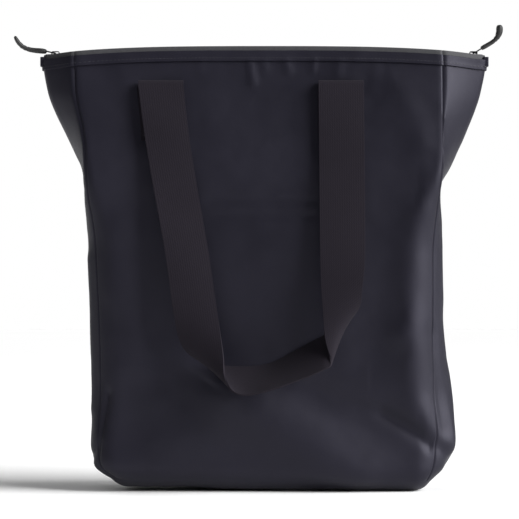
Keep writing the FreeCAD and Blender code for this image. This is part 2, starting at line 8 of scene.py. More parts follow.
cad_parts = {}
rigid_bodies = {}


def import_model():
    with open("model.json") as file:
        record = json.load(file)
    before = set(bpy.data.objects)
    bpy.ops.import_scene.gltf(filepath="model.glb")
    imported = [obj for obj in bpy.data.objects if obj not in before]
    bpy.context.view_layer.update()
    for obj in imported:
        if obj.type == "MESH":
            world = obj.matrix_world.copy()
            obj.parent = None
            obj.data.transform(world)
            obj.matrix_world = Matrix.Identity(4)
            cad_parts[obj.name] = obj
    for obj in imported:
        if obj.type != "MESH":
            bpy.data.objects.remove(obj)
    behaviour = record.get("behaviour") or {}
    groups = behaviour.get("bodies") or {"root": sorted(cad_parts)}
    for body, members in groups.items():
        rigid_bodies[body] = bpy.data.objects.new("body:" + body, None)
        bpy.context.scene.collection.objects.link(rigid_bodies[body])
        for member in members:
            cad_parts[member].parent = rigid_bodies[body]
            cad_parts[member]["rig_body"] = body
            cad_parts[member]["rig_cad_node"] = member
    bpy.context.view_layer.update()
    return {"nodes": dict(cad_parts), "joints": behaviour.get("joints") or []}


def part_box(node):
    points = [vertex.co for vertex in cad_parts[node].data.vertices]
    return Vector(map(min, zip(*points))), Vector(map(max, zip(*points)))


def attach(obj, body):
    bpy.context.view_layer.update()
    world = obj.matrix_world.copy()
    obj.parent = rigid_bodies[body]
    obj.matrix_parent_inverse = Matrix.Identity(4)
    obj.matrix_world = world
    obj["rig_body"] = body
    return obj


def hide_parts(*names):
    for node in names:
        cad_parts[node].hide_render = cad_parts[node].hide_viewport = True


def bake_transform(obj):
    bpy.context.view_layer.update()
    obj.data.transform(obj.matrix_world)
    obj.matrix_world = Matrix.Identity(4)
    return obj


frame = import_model()
mm = 0.001
print("frame loaded:", len(frame["nodes"]), "nodes")

# the plain box that the bag is sewn from, read from the frame
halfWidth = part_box("front_panel")[1].x
halfDepth = -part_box("front_panel")[0].y
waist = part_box("front_panel")[1].z
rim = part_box("front_hem")[1].z
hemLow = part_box("front_hem")[0].z
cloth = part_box("base_panel")[1].z
sides = {"front": -1, "back": 1}
ends = {"left": -1, "right": 1}


# camera, light and floor
studio = {
    "away": 2.6,                # camera to the middle of the bag
    "across": 0.493,            # width that the view takes in at the front wall
    "aim": (-0.0048, 0.221),
    "middle": (0, 0, 0.22),     # every lamp faces this place
    "keyFrom": (2.0, -0.7, 1.35),
    "keyPower": 6.4,
    "keySoftness": math.radians(46),
    "softBoxes": {              # place, width and power of each
        "fill": ((-1.6, -2.4, 1.4), 1.4, 0.8),
        "top": ((0.1, -0.2, 2.4), 1.8, 4),
        "back": ((-1.5, 2.3, 1.3), 1.6, 22),
    },
    "ambient": 0.1,
    "floorRadius": 6,
    "floorDrop": 0.6 * mm,
}


def setCamera():
    scene = bpy.context.scene
    camera = bpy.data.objects.new("camera", bpy.data.cameras.new("camera"))
    aimX, aimZ = studio["aim"]
    camera.location = (aimX, -studio["away"], aimZ)
    camera.rotation_euler = (math.pi / 2, 0, 0)
    camera.data.lens = camera.data.sensor_width * (studio["away"] - halfDepth) / studio["across"]
    scene.collection.objects.link(camera)
    scene.camera = camera
    scene.view_settings.view_transform = "Standard"


def hangLamp(name, lamp, place):
    holder = bpy.data.objects.new(name, lamp)
    holder.location = place
    toBag = Vector(studio["middle"]) - Vector(place)
    holder.rotation_euler = toBag.to_track_quat("-Z", "Y").to_euler()
    bpy.context.scene.collection.objects.link(holder)


def setLights():
    key = bpy.data.lights.new("key", "SUN")
    key.angle = studio["keySoftness"]
    key.energy = studio["keyPower"]
    hangLamp("key", key, studio["keyFrom"])
    for name, (place, width, power) in studio["softBoxes"].items():
        box = bpy.data.lights.new(name, "AREA")
        box.shape = "SQUARE"
        box.size = width
        box.energy = power
        hangLamp(name, box, place)


def setBackdrop():
    # white to look at, and dim as a light
    world = bpy.data.worlds.new("studio")
    world.use_nodes = True
    tree = world.node_tree
    dim = tree.nodes["Background"]
    dim.inputs["Color"].default_value = (1, 1, 1, 1)
    dim.inputs["Strength"].default_value = studio["ambient"]
    bright = tree.nodes.new("ShaderNodeBackground")
    bright.inputs["Color"].default_value = (1, 1, 1, 1)
    seen = tree.nodes.new("ShaderNodeLightPath")
    mix = tree.nodes.new("ShaderNodeMixShader")
    tree.links.new(seen.outputs["Is Camera Ray"], mix.inputs[0])
    tree.links.new(dim.outputs[0], mix.inputs[1])
    tree.links.new(bright.outputs[0], mix.inputs[2])
    tree.links.new(mix.outputs[0], tree.nodes["World Output"].inputs["Surface"])
    bpy.context.scene.world = world


def layFloor():
    bpy.ops.mesh.primitive_circle_add(vertices=96, radius=studio["floorRadius"],
                                      fill_type="NGON")
    floor = bpy.context.object
    floor.name = "floor"
    floor.location.z = -studio["floorDrop"]
    return floor


bpy.ops.object.select_all(action="DESELECT")
setCamera()
setLights()
setBackdrop()
floor = layFloor()
print("stage set")


# shader helpers
class Wire:
    # a shader socket that can be added and multiplied

    def __init__(self, board, socket):
        self.board = board
        self.socket = socket

    def __add__(self, other):
        return self.board.maths("ADD", self, other)

    def __radd__(self, other):
        return self.board.maths("ADD", other, self)

    def __mul__(self, other):
        return self.board.maths("MULTIPLY", self, other)

    def __rmul__(self, other):
        return self.board.maths("MULTIPLY", other, self)


class Board:
    # one material and its nodes

    def __init__(self, name):
        self.material = bpy.data.materials.new(name)
        self.material.use_nodes = True
        self.tree = self.material.node_tree
        self.tree.nodes.clear()

    def add(self, kind, settings=None, sockets=None, outlet=0):
        node = self.tree.nodes.new(kind)
        for key, value in (settings or {}).items():
            setattr(node, key, value)
        for key, value in (sockets or {}).items():
            if isinstance(value, Wire):
                self.tree.links.new(value.socket, node.inputs[key])
            else:
                node.inputs[key].default_value = value
        return Wire(self, node.outputs[outlet]) if outlet is not None else None

    def maths(self, operation, first, second=0.0):
        return self.add("ShaderNodeMath", {"operation": operation}, {0: first, 1: second})

    def sine(self, wire):
        return self.maths("SINE", wire)

    def between(self, wire, low, high, start=0.0, stop=1.0):
        # runs evenly from start to stop while the wire goes from low to high
        sockets = {"Value": wire, 1: low, 2: high, 3: start, 4: stop}
        return self.add("ShaderNodeMapRange", {"clamp": True}, sockets)

    def places(self):
        return self.add("ShaderNodeTexCoord", None, None, "Object")

    def laid(self):
        # metres along and up the flat cloth
        where = self.add("ShaderNodeUVMap", {"uv_map": "cut"})
        parts = self.add("ShaderNodeSeparateXYZ", None, {0: where}).socket.node.outputs
        return Wire(self, parts["X"]), Wire(self, parts["Y"])

    def noise(self, where, scale, detail=2.0, roughness=0.5):
        sockets = {"Vector": where, "Scale": scale, "Detail": detail, "Roughness": roughness}
        return self.add("ShaderNodeTexNoise", None, sockets)

    def tint(self, share, dark, light):
        # sockets 0, 6 and 7 of a colour Mix node are its factor and its two colours
        sockets = {0: share, 6: (*dark, 1), 7: (*light, 1)}
        return self.add("ShaderNodeMix", {"data_type": "RGBA"}, sockets, 2)

    def raised(self, height, depth, strength, under=None):
        sockets = {"Height": height, "Distance": depth, "Strength": strength}
        if under:
            sockets["Normal"] = under
        return self.add("ShaderNodeBump", None, sockets)

    def surface(self, sockets):
        shader = self.add("ShaderNodeBsdfPrincipled", None, sockets)
        self.add("ShaderNodeOutputMaterial", None, {"Surface": shader}, None)
        return self.material


# finishes
weave = {
    "pitch": 0.9 * mm,
    "depth": 0.05 * mm,
    "speckle": 900,
    "handling": 11,             # how close the worn places lie
    "dents": 60,
    "dentDepth": 0.5 * mm,
    "shine": 0.27,
    "shineTint": (0.84, 0.82, 1, 1),
}
twill = {
    "pitch": 1.6 * mm,
    "rib": 2.2 * mm,
    "depth": 0.12 * mm,
    "fibres": 700,
    "soiling": 14,
    "shine": 0.18,
    "shineTint": (0.95, 0.85, 1, 1),
}
tapeRib = {"depth": 0.08 * mm, "fibres": 800}


def clothFinish(name, dark, light, roughness):
    # plain weave with a thin coating, a little uneven from handling
    board = Board(name)
    places = board.places()
    along, up = board.laid()
    turns = 2 * math.pi / weave["pitch"]
    threads = board.sine(along * turns) * board.sine(up * turns)
    handled = board.noise(places, weave["handling"], 4, 0.6)
    speckle = board.noise(places, weave["speckle"], 2, 0.6)
    worn = board.between(handled, 0.35, 0.7)
    coarse = board.noise(places, weave["dents"], 3, 0.55)
    dented = board.raised(coarse, weave["dentDepth"], 0.35)
    shade = board.between(speckle * 0.35 + worn * 0.65, 0.1, 0.9)
    return board.surface({
        "Base Color": board.tint(shade, dark, light),
        "Roughness": board.between(worn + speckle * 0.3, 0, 1.3,
                                   roughness - 0.05, roughness + 0.06),
        "Normal": board.raised(threads * 0.5 + speckle * 0.4, weave["depth"], 0.6, dented),
        "Specular IOR Level": weave["shine"],
        "Specular Tint": weave["shineTint"],
    })


def webbingFinish(name, dark, light):
    # twill webbing: slanting ribs across the strap, and rows along it
    board = Board(name)
    across, along = board.laid()
    ribs = board.sine((along + across) * (2 * math.pi / twill["pitch"])) * 0.5
    rows = board.sine(across * (2 * math.pi / twill["rib"])) * 0.5
    fibres = board.noise(board.places(), twill["fibres"], 3, 0.6)
    soiled = board.noise(board.places(), twill["soiling"], 3, 0.6)
    height = ribs + rows * 0.6 + fibres * 0.5
    shade = board.between(ribs * 0.3 + fibres * 0.5 + soiled * 0.6, 0.1, 1.0)
    return board.surface({
        "Base Color": board.tint(shade, dark, light),
        "Roughness": board.between(fibres, 0.2, 0.8, 0.72, 0.86),
        "Normal": board.raised(height, twill["depth"], 0.7),
        "Sheen Weight": 0.02,
        "Sheen Roughness": 0.5,
        "Specular IOR Level": twill["shine"],
        "Specular Tint": twill["shineTint"],
    })


def ribbedFinish(name, dark, light, pitch, roughness):
    # narrow woven tape with ribs across it
    board = Board(name)
    across, along = board.laid()
    ribs = board.sine(across * (2 * math.pi / pitch))
    fibres = board.noise(board.places(), tapeRib["fibres"], 2, 0.6)
    shade = board.between(ribs * 0.25 + fibres, 0.2, 0.9)
    return board.surface({
        "Base Color": board.tint(shade, dark, light),
        "Roughness": board.between(fibres, 0.2, 0.8, roughness - 0.06, roughness + 0.06),
        "Normal": board.raised(ribs * 0.5 + fibres * 0.4, tapeRib["depth"], 0.7),
        "Specular IOR Level": 0.4,
    })


def grainFinish(name, dark, light, roughness, grain, depth, metallic=0.0, coat=0.0):
    # moulded or enamelled surfaces: fine grain, with lighter rubbed places
    board = Board(name)
    places = board.places()
    fine = board.noise(places, grain, 3, 0.6)
    rubbed = board.noise(places, 160, 4, 0.65)
    shade = board.between(rubbed, 0.45, 0.75)
    return board.surface({
        "Base Color": board.tint(shade, dark, light),
        "Roughness": board.between(fine * 0.6 + rubbed * 0.4, 0.25, 0.75,
                                   roughness - 0.08, roughness + 0.1),
        "Normal": board.raised(fine, depth, 0.5),
        "Metallic": metallic,
        "Coat Weight": coat,
        "Coat Roughness": 0.2,
    })


finishes = {
    "body_cloth": clothFinish("body_cloth_outer", (0.0068, 0.0064, 0.0112),
                              (0.0108, 0.0102, 0.0168), 0.5),
    "lining": clothFinish("body_cloth_inner", (0.022, 0.022, 0.03), (0.032, 0.032, 0.041),
                          0.44),
    "binding": ribbedFinish("binding_tape", (0.010, 0.010, 0.014), (0.022, 0.022, 0.028),
                            1.1 * mm, 0.75),
    "webbing": webbingFinish("webbing_twill", (0.0054, 0.0045, 0.0070),
                             (0.0132, 0.0112, 0.0162)),
    "zip_tape": ribbedFinish("zip_tape_weave", (0.030, 0.030, 0.034), (0.058, 0.058, 0.064),
                             0.8 * mm, 0.7),
    "zip_coil": grainFinish("zip_coil_nylon", (0.012, 0.012, 0.014), (0.03, 0.03, 0.034),
                            0.35, 1500, 0.02 * mm),
    "slider_metal": grainFinish("slider_enamel", (0.010, 0.010, 0.011), (0.05, 0.05, 0.052),
                                0.32, 1300, 0.02 * mm, 0.35, 0.25),
    "pull_rubber": grainFinish("pull_rubber_matt", (0.0085, 0.0085, 0.009),
                               (0.02, 0.02, 0.021), 0.55, 1700, 0.04 * mm),
    "thread": grainFinish("thread_polyester", (0.014, 0.0135, 0.021), (0.03, 0.029, 0.042),
                          0.5, 2500, 0.02 * mm),
}


def floorFinish():
    board = Board("studio_floor")
    mottle = board.noise(board.places(), 3, 2)
    return board.surface({
        "Base Color": board.tint(mottle, (0.965, 0.965, 0.965), (0.985, 0.985, 0.985)),
        "Roughness": 0.85,
        "Specular IOR Level": 0.1,
    })


floor.data.materials.append(floorFinish())
print("finishes made")


# modelling helpers
def edit(piece, mode="FACE", action="DESELECT"):
    # opens one piece in edit mode, with nothing selected unless the action is SELECT
    if bpy.context.object and bpy.context.object.mode != "OBJECT":
        bpy.ops.object.mode_set(mode="OBJECT")
    bpy.ops.object.select_all(action="DESELECT")
    piece.select_set(True)
    bpy.context.view_layer.objects.active = piece
    bpy.ops.object.mode_set(mode="EDIT")
    bpy.ops.mesh.select_mode(type=mode)
    bpy.ops.mesh.select_all(action=action)


def leave():
    bpy.ops.object.mode_set(mode="OBJECT")


def choose(piece, kind, chosen):
    # selects the vertices, edges or polygons that the list of truths names
    leave()
    getattr(piece.data, kind).foreach_set("select", np.asarray(chosen, bool))
    bpy.ops.object.mode_set(mode="EDIT")


def readAll(items, key, kind=np.int32, width=1):
    # one value of every vertex, edge, polygon or loop
    found = np.zeros(len(items) * width, kind)
    items.foreach_get(key, found)
    return found.reshape(-1, width) if width > 1 else found


def points(piece, attribute=None):
    # a row for each vertex: its place, or one of the piece's vector attributes
    if attribute:
        found = readAll(piece.data.attributes[attribute].data, "vector", np.float32, 3)
    else:
        found = readAll(piece.data.vertices, "co", np.float32, 3)
    return found.astype(float)


def picked(piece):
    # which vertices are selected
    return readAll(piece.data.vertices, "select", bool)


def setPoints(piece, places):
    piece.data.vertices.foreach_set("co", places.astype(np.float32).ravel())
    piece.data.update()


def keepAttribute(piece, name, values):
    attribute = piece.data.attributes.get(name)
    if attribute is None:
        attribute = piece.data.attributes.new(name, "FLOAT_VECTOR", "POINT")
    attribute.data.foreach_set("vector", values.astype(np.float32).ravel())


def faceMiddles(piece, places):
    # the mean of some vertex values over each face
    starts = readAll(piece.data.polygons, "loop_start")
    counts = readAll(piece.data.polygons, "loop_total")
    corners = readAll(piece.data.loops, "vertex_index")
    return np.add.reduceat(places[corners], starts, axis=0) / counts[:, None]


def copied(piece, name):
    twin = piece.copy()
    twin.data = piece.data.copy()
    twin.name = name
    twin.data.name = name
    bpy.context.scene.collection.objects.link(twin)
    return twin


def finishPiece(piece, slot, finish=None, angle=40):
    # outward faces, smooth shading and the finish
    edit(piece, action="SELECT")
    bpy.ops.mesh.normals_make_consistent(inside=False)
    leave()
    bpy.ops.object.shade_smooth_by_angle(angle=math.radians(angle))
    piece.data.materials.clear()
    piece.data.materials.append(finishes[finish or slot])


def rounded(piece, width, segments=2, angle=50):
    # bevels the sharp edges of a piece
    bpy.context.view_layer.objects.active = piece
    bevel = piece.modifiers.new("bevel", "BEVEL")
    bevel.width = width
    bevel.segments = segments
    bevel.limit_method = "ANGLE"
    bevel.angle_limit = math.radians(angle)
    bpy.ops.object.modifier_apply(modifier="bevel")


def softened(piece, levels):
    bpy.context.view_layer.objects.active = piece
    smooth = piece.modifiers.new("smooth", "SUBSURF")
    smooth.levels = smooth.render_levels = levels
    bpy.ops.object.modifier_apply(modifier="smooth")


def isAt(value, place):
    return np.abs(value - place) < 0.01 * mm


def unit(rows):
    return rows / np.linalg.norm(rows, axis=1)[:, None]


def ridge(away, width):
    # 1 at the middle of a ridge, nothing a few widths away
    return np.exp(-(away / width) ** 2)


def ease(value, low, high):
    # 0 below low, 1 above high, smooth between
    share = np.clip((value - low) / (high - low), 0, 1)
    return share * share * (3 - 2 * share)


def drawn(value, stations):
    # a smooth line through (place, height) stations, level beyond both ends
    places = np.array([place for place, height in stations], float)
    heights = np.array([height for place, height in stations], float)
    slopes = np.gradient(heights, places)
    slopes[0] = slopes[-1] = 0
    value = np.clip(value, places[0], places[-1])
    index = np.clip(np.searchsorted(places, value) - 1, 0, len(places) - 2)
    gap = places[index + 1] - places[index]
    share = (value - places[index]) / gap
    back = 1 - share
    return (heights[index] * back * back * (1 + 2 * share)
            + heights[index + 1] * share * share * (1 + 2 * back)
            + gap * share * back * (slopes[index] * back - slopes[index + 1] * share))


def foldHeight(across, up, folds):
    # folds are (from, to, width on the left, width on the right, height), in millimetres
    total = np.zeros_like(across)
    for start, end, leftWidth, rightWidth, height in folds:
        startX, startZ = (value * mm for value in start)
        endX, endZ = (value * mm for value in end)
        runX, runZ = endX - startX, endZ - startZ
        length = math.hypot(runX, runZ)
        along = ((across - startX) * runX + (up - startZ) * runZ) / length ** 2
        nearX = startX + runX * np.clip(along, 0, 1)
        nearZ = startZ + runZ * np.clip(along, 0, 1)
        away = np.hypot(across - nearX, up - nearZ)
        side = runX * (up - startZ) - runZ * (across - startX)
        width = (rightWidth + (leftWidth - rightWidth) * ease(side / length, -1 * mm, 1 * mm)) * mm
        total += height * mm * ridge(away, width)
    return total


# the shape that the cloth takes
form = {
    "lean": math.radians(12),
    "leanRadius": 200 * mm,
    "gussetFold": 5.5 * mm,
    "footRadius": 24 * mm,
    "cornerRadius": 30 * mm,     # standing corners, up to the waist
    "seamRadius": 4 * mm,        # the same corners where they are pulled flat at the mouth
    "pulledFlat": (225 * mm, 330 * mm),      # the levels between which they flatten
    "rounder": 9 * mm,           # the right-hand corners are fuller
    "stretch": 6.5 * mm,         # the zip's ends hold the gussets out at the mouth
    "rimRise": 7 * mm,           # the mouth arches up in the middle
    "archReach": 204 * mm,       # and is level this far out
    "archPower": 3.2,
    "leftLift": 4 * mm,          # the left of the base stands up a little
    "rightTuck": 7 * mm,         # the right end of the base is tucked in
    "pillow": 3.5 * mm,
    "backPillow": 1.6,           # the back swells this many times as much
    "waves": 0.9 * mm,
    "crinkles": 0.25 * mm,
    "seamDip": 0.9 * mm,
    "seamWidth": 1.4 * mm,
    "clearance": 0.2 * mm,       # nothing comes nearer to the floor
}

frontFolds = [
    ((-30, 90), (84, 12), 30, 24, 7.5),
    ((22, 104), (161, 47), 15, 26, -4.5),
    ((112, 76), (163, 44), 6, 7, -3),
    ((146, 262), (136, 150), 26, 16, 3.0),
    ((136, 150), (148, 84), 26, 16, 2.6),
    ((104, 250), (100, 130), 24, 20, -1.6),
    ((-157, 94), (-171, 22), 3.5, 4.5, -3.2),
    ((-140, 250), (-136, 120), 14, 18, 1.5),
    ((-112, 300), (-108, 110), 18, 18, -1.5),
    ((-56, 278), (53, 277), 3, 3, -0.5),
    ((-56, 263), (60, 262), 3, 3, -0.4),
    ((-14, 402), (-11, 384), 3.4, 3.4, 1.3),
    ((0, 403), (1, 396), 3, 3, 0.7),
    ((21, 403), (23, 394), 3, 3, 1.0),
    ((48, 403), (46, 396), 3, 3, 0.8),
    ((72, 403), (70, 392), 4, 4, 0.7),
    ((108, 403), (104, 378), 7, 7, 0.8),
    ((-60, 403), (-62, 396), 4, 4, 0.5),
    ((130, 380), (150, 330), 14, 18, 1.4),
    ((110, 402), (96, 350), 10, 14, -0.9),
    ((-150, 396), (-128, 352), 12, 16, -1.0),
    ((-40, 60), (-150, 22), 20, 22, 1.6),
    ((-150, 160), (-120, 40), 20, 26, -1.6),
]
backFolds = [
    ((36, 96), (-96, 16), 24, 30, 6),
    ((-14, 108), (-158, 50), 22, 14, -4),
    ((-116, 80), (-163, 46), 7, 6, -2.6),
    ((-142, 262), (-140, 120), 14, 22, 2),
    ((146, 240), (140, 96), 20, 14, 1.8),
    ((100, 270), (104, 110), 20, 24, -1.8),
    ((-96, 260), (-104, 130), 20, 22, -1.4),
    ((158, 92), (170, 24), 4, 4, -2.4),
    ((60, 278), (-58, 277), 3, 3, -0.5),
    ((30, 403), (28, 388), 3.5, 3.5, 1.1),
    ((-20, 403), (-22, 392), 3, 3, 0.9),
    ((-52, 403), (-50, 396), 3, 3, 0.7),
    ((118, 402), (104, 352), 10, 14, -1.1),
    ((-126, 396), (-146, 340), 16, 14, 1.2),
]
gussetFolds = {
    # along a gusset a fold's first place is y, from the front seam at -46
    "right": [
        ((-46, 45), (-20, 28), 6, 7, -3.5),
        ((-44, 150), (-34, 60), 8, 9, -2.2),
        ((0, 286), (0, 130), 11, 11, -3.2),
        ((0, 130), (0, 60), 18, 18, 1.5),
        ((30, 110), (12, 40), 12, 12, 1.8),
        ((46, 60), (22, 30), 6, 6, -2.4),
    ],
    "left": [
        ((0, 300), (0, 60), 12, 12, -5),
        ((-26, 220), (-24, 80), 9, 9, 1.8),
        ((26, 240), (24, 70), 9, 9, 1.6),
        ((-46, 40), (-16, 24), 6, 6, -2.4),
        ((46, 44), (18, 26), 6, 6, -2.6),
    ],
}
rightBulge = [(0, -4), (8, -1), (20, 5), (35, 11), (62, 10), (87, 8.5), (125, 3.5), (154, 1),
              (182, 1.5), (211, 0.8), (260, -1.5), (287, -5), (308, -3), (330, -3),
              (345, -2.5), (363, -1), (380, 0)]
leftPinch = [(0, 19), (9, 15), (20, 8.5), (35, 6), (60, 6), (87, 6.5), (182, 5), (239, 2),
             (287, 1.2), (308, 3.5), (330, 5.2), (345, 4.4), (363, 2), (380, 0)]
seamDrift = {-1: 12 * mm, 1: 5 * mm}        # the left seam leans out at the mouth, front and back


def wallDepth(up):
    # half depth to the outer face of a wall
    radius = form["leanRadius"]
    bendRise = radius * math.sin(form["lean"])
    rise = np.clip(up - waist, 0, bendRise)
    onBend = halfDepth - radius + np.sqrt(radius ** 2 - rise ** 2)
    return onBend - np.maximum(up - waist - bendRise, 0) * math.tan(form["lean"])


def ripple(places, size, seed):
    shift = Vector((seed, seed * 0.7, -seed))
    return np.array([noise.noise(Vector(place) / size + shift) for place in places])


def archRise(across):
    reach = np.minimum(np.abs(across) / form["archReach"], 1)
    return form["rimRise"] * (1 - reach ** form["archPower"])


def roundCorners(flat):
    # a corner's radius is the same whichever face the point starts on
    across, depth, up = flat.T
    flattened = ease(up, *form["pulledFlat"])
    radius = (form["footRadius"]
              + (form["cornerRadius"] - form["footRadius"]) * ease(up, 30 * mm, 100 * mm)
              - (form["cornerRadius"] - form["seamRadius"]) * flattened
              + form["rounder"] * (across > 0) * ease(up, 40 * mm, 100 * mm) * (1 - flattened))
    core = np.stack([
        np.clip(across, radius - halfWidth, halfWidth - radius),
        np.clip(depth, radius - halfDepth, halfDepth - radius),
        np.maximum(up, form["footRadius"]),
    ], axis=1)
    away = flat - core
    outward = unit(away)
    return core + outward * np.abs(away).max(axis=1)[:, None], outward


def foldGussets(settled, flat):
    # gussets fold outwards where the walls lean in; gives how near each point is to its seam
    across, depth, up = flat.T
    fold = form["gussetFold"]
    leg = halfDepth - fold
    lean = wallDepth(up)
    reach = np.sqrt(leg ** 2 - (lean - fold) ** 2)
    reach += form["stretch"] * ease(up, waist + 10 * mm, rim)
    share = np.clip((np.abs(depth) - fold) / leg, 0, 1)
    settled[:, 0] += np.sign(across) * reach * (1 - share)
    leaned = (lean - fold) * share + np.minimum(np.abs(depth), fold)
    settled[:, 1] += np.sign(depth) * (leaned - np.abs(depth))
    return share


def drawSides(settled, flat, facing, share):
    # the right gusset bulges, the left side is drawn in, and its seams lean out at the mouth
    across, depth, up = flat.T
    settled[:, 0] += drawn(up / mm, rightBulge) * mm * (across > 0) * facing[:, 0] ** 3
    settled[:, 0] += drawn(up / mm, leftPinch) * mm * ease(-across, 30 * mm, 160 * mm)
    drift = np.where(depth < 0, seamDrift[-1], seamDrift[1])
    edge = np.clip(-across / halfWidth, 0, 1) ** 6
    settled[:, 0] -= drift * ease(up, 250 * mm, 415 * mm) * edge * share


def moveEnds(settled, flat):
    # the mouth arches, the left of the base lifts, and the right of it is tucked in
    across, depth, up = flat.T
    settled[:, 2] += archRise(settled[:, 0]) * ease(up, 300 * mm, rim)
    nearBase = 1 - ease(up, 0, 100 * mm)
    settled[:, 2] += form["leftLift"] * ease(-across, -40 * mm, 160 * mm) * nearBase
    tucked = ease(across, 100 * mm, 172 * mm) * (1 - ease(up, 0, 60 * mm))
    settled[:, 0] -= form["rightTuck"] * tucked


def clothRelief(flat, facing):
    # how far the cloth stands out from its plain shape, square to it
    across, depth, up = flat.T
    width = np.cos(np.clip(across / halfWidth, -1, 1) * math.pi / 2)
    height = ease(up, 0, 100 * mm) * (1 - ease(up, 200 * mm, 340 * mm))
    pillow = form["pillow"] * width * height
    front = pillow + foldHeight(across, up, frontFolds)
    back = pillow * form["backPillow"] + foldHeight(across, up, backFolds)
    wall = np.where(depth < 0, front, back)
    right = foldHeight(depth, up, gussetFolds["right"])
    left = foldHeight(depth, up, gussetFolds["left"])
    relief = wall * facing[:, 1] + np.where(across > 0, right, left) * facing[:, 0]
    calm = 1 - ease(up, rim - 30 * mm, rim)
    relief += form["waves"] * ripple(flat, 55 * mm, 3.1) * calm
    relief += form["crinkles"] * ripple(flat, 17 * mm, 7.7)
    # the seams draw the cloth in
    seam = np.hypot(np.abs(across) - halfWidth, np.abs(depth) - halfDepth)
    relief -= form["seamDip"] * ridge(seam, form["seamWidth"]) * (up < hemLow)
    return relief


def settle(flat):
    # takes points on the plain box to where the cloth stands
    settled, outward = roundCorners(flat)
    facing = outward ** 2        # how far the cloth faces sideways, forwards, down
    share = foldGussets(settled, flat)
    drawSides(settled, flat, facing, share)
    moveEnds(settled, flat)
    settled += outward * clothRelief(flat, facing)[:, None]
    settled[:, 2] = np.maximum(settled[:, 2], form["clearance"])
    return settled


# the bag's skin, one layer, from which every cloth piece is cut
handle = {
    "foldLevel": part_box("front_handle_ends")[1].z,
    "sewnTop": 381.2 * mm,       # on the flat cloth; it stands at the fold's level
    "sewnLow": 333 * mm,
    "margin": 4 * mm,            # inner patch beyond the webbing
    "middles": (-99 * mm, 73 * mm),
    "webbing": 1.8 * mm,
    "half": 21.5 * mm,
}
footLine = halfDepth * 0.52      # each wall runs on under the base as far in as this
bindingWidth = 9 * mm
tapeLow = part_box("front_zip_tape")[0].z
pocketLow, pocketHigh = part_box("stow_pocket")
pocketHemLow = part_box("stow_pocket_hem")[0].z

skin = {
    "acrossCuts": 99,
    "depthCuts": 27,
    "upCuts": 63,                # and each row is then halved
    "seamLines": (1 * mm, 2.4 * mm),
    "rimLine": 1.2 * mm,
    "foldHalf": 9 * mm,          # the rows of a gusset's fold that are smoothed
    "foldFrom": waist - 30 * mm,
}


def edgePairs(piece):
    pairs = readAll(piece.data.edges, "vertices", np.int32, 2)
    return pairs[:, 0], pairs[:, 1]


def gridEdges(piece, axis):
    # the edges that run along one axis
    places = points(piece)
    starts, stops = edgePairs(piece)
    return np.abs(places[starts] - places[stops]).argmax(axis=1) == axis


def cutRows(box, axis, cuts):
    bpy.ops.mesh.select_all(action="DESELECT")
    leave()
    choose(box, "edges", gridEdges(box, axis))
    bpy.ops.mesh.subdivide(number_cuts=cuts)


def cutLines(box):
    # the lines that later pieces are cut along
    sewn = [middle + side * (handle["half"] + extra) for middle in handle["middles"]
            for side in (-1, 1) for extra in (0, handle["margin"])]
    seams = [side * (halfWidth - gap) for side in (-1, 1)
             for gap in (*skin["seamLines"], bindingWidth)]
    lines = [(0, place) for place in (*sewn, *seams, pocketLow.x, pocketHigh.x)]
    lines += [(1, side * (halfDepth - gap)) for side in (-1, 1)
              for gap in (*skin["seamLines"], bindingWidth, halfDepth - footLine)]
    lines += [(2, place) for place in (
        handle["sewnLow"], handle["sewnLow"] - handle["margin"], handle["sewnTop"],
        handle["sewnTop"] + handle["margin"], tapeLow, hemLow, pocketLow.z, pocketHigh.z,
        pocketHemLow, rim - skin["rimLine"])]
    for axis, place in lines:
        spot = [0, 0, 0]
        normal = [0, 0, 0]
        spot[axis] = place
        normal[axis] = 1
        bpy.ops.mesh.select_all(action="SELECT")
        bpy.ops.mesh.bisect(plane_co=spot, plane_no=normal, threshold=0.02 * mm)


def makeSkin():
    bpy.ops.mesh.primitive_cube_add(size=1, location=(0, 0, rim / 2))
    box = bpy.context.object
    box.name = "skin"
    box.scale = (halfWidth * 2, halfDepth * 2, rim)
    bpy.ops.object.transform_apply(location=True, scale=True)
    edit(box)
    choose(box, "polygons", [face.normal.z > 0.5 for face in box.data.polygons])
    bpy.ops.mesh.delete(type="FACE")
    bpy.ops.mesh.select_mode(type="EDGE")
    for axis, cuts in enumerate((skin["acrossCuts"], skin["depthCuts"], skin["upCuts"])):
        cutRows(box, axis, cuts)
    cutRows(box, 2, 1)
    cutLines(box)
    bpy.ops.mesh.select_all(action="SELECT")
    bpy.ops.mesh.remove_doubles(threshold=0.05 * mm)
    bpy.ops.mesh.normals_make_consistent(inside=False)
    leave()

    flat = points(box)
    keepAttribute(box, "flat", flat)
    setPoints(box, settle(flat))
    # the fold down each gusset is soft, so its middle rows are smoothed
    across, depth, up = flat.T
    inFold = isAt(np.abs(across), halfWidth) & (np.abs(depth) < skin["foldHalf"])
    edit(box, "VERT")
    choose(box, "vertices", inFold & (up > skin["foldFrom"]))
    bpy.ops.mesh.vertices_smooth(factor=0.5, repeat=4)
    leave()
    keepAttribute(box, "outward", readAll(box.data.vertex_normals, "vector", np.float32, 3))
    return box


def cutFrom(source, name, wanted):
    # a copy of the faces whose middle on the flat cloth is wanted
    piece = copied(source, name)
    middles = faceMiddles(piece, points(piece, "flat"))
    edit(piece)
    choose(piece, "polygons", ~wanted(*middles.T))
    bpy.ops.mesh.delete(type="FACE")
    leave()
    return piece


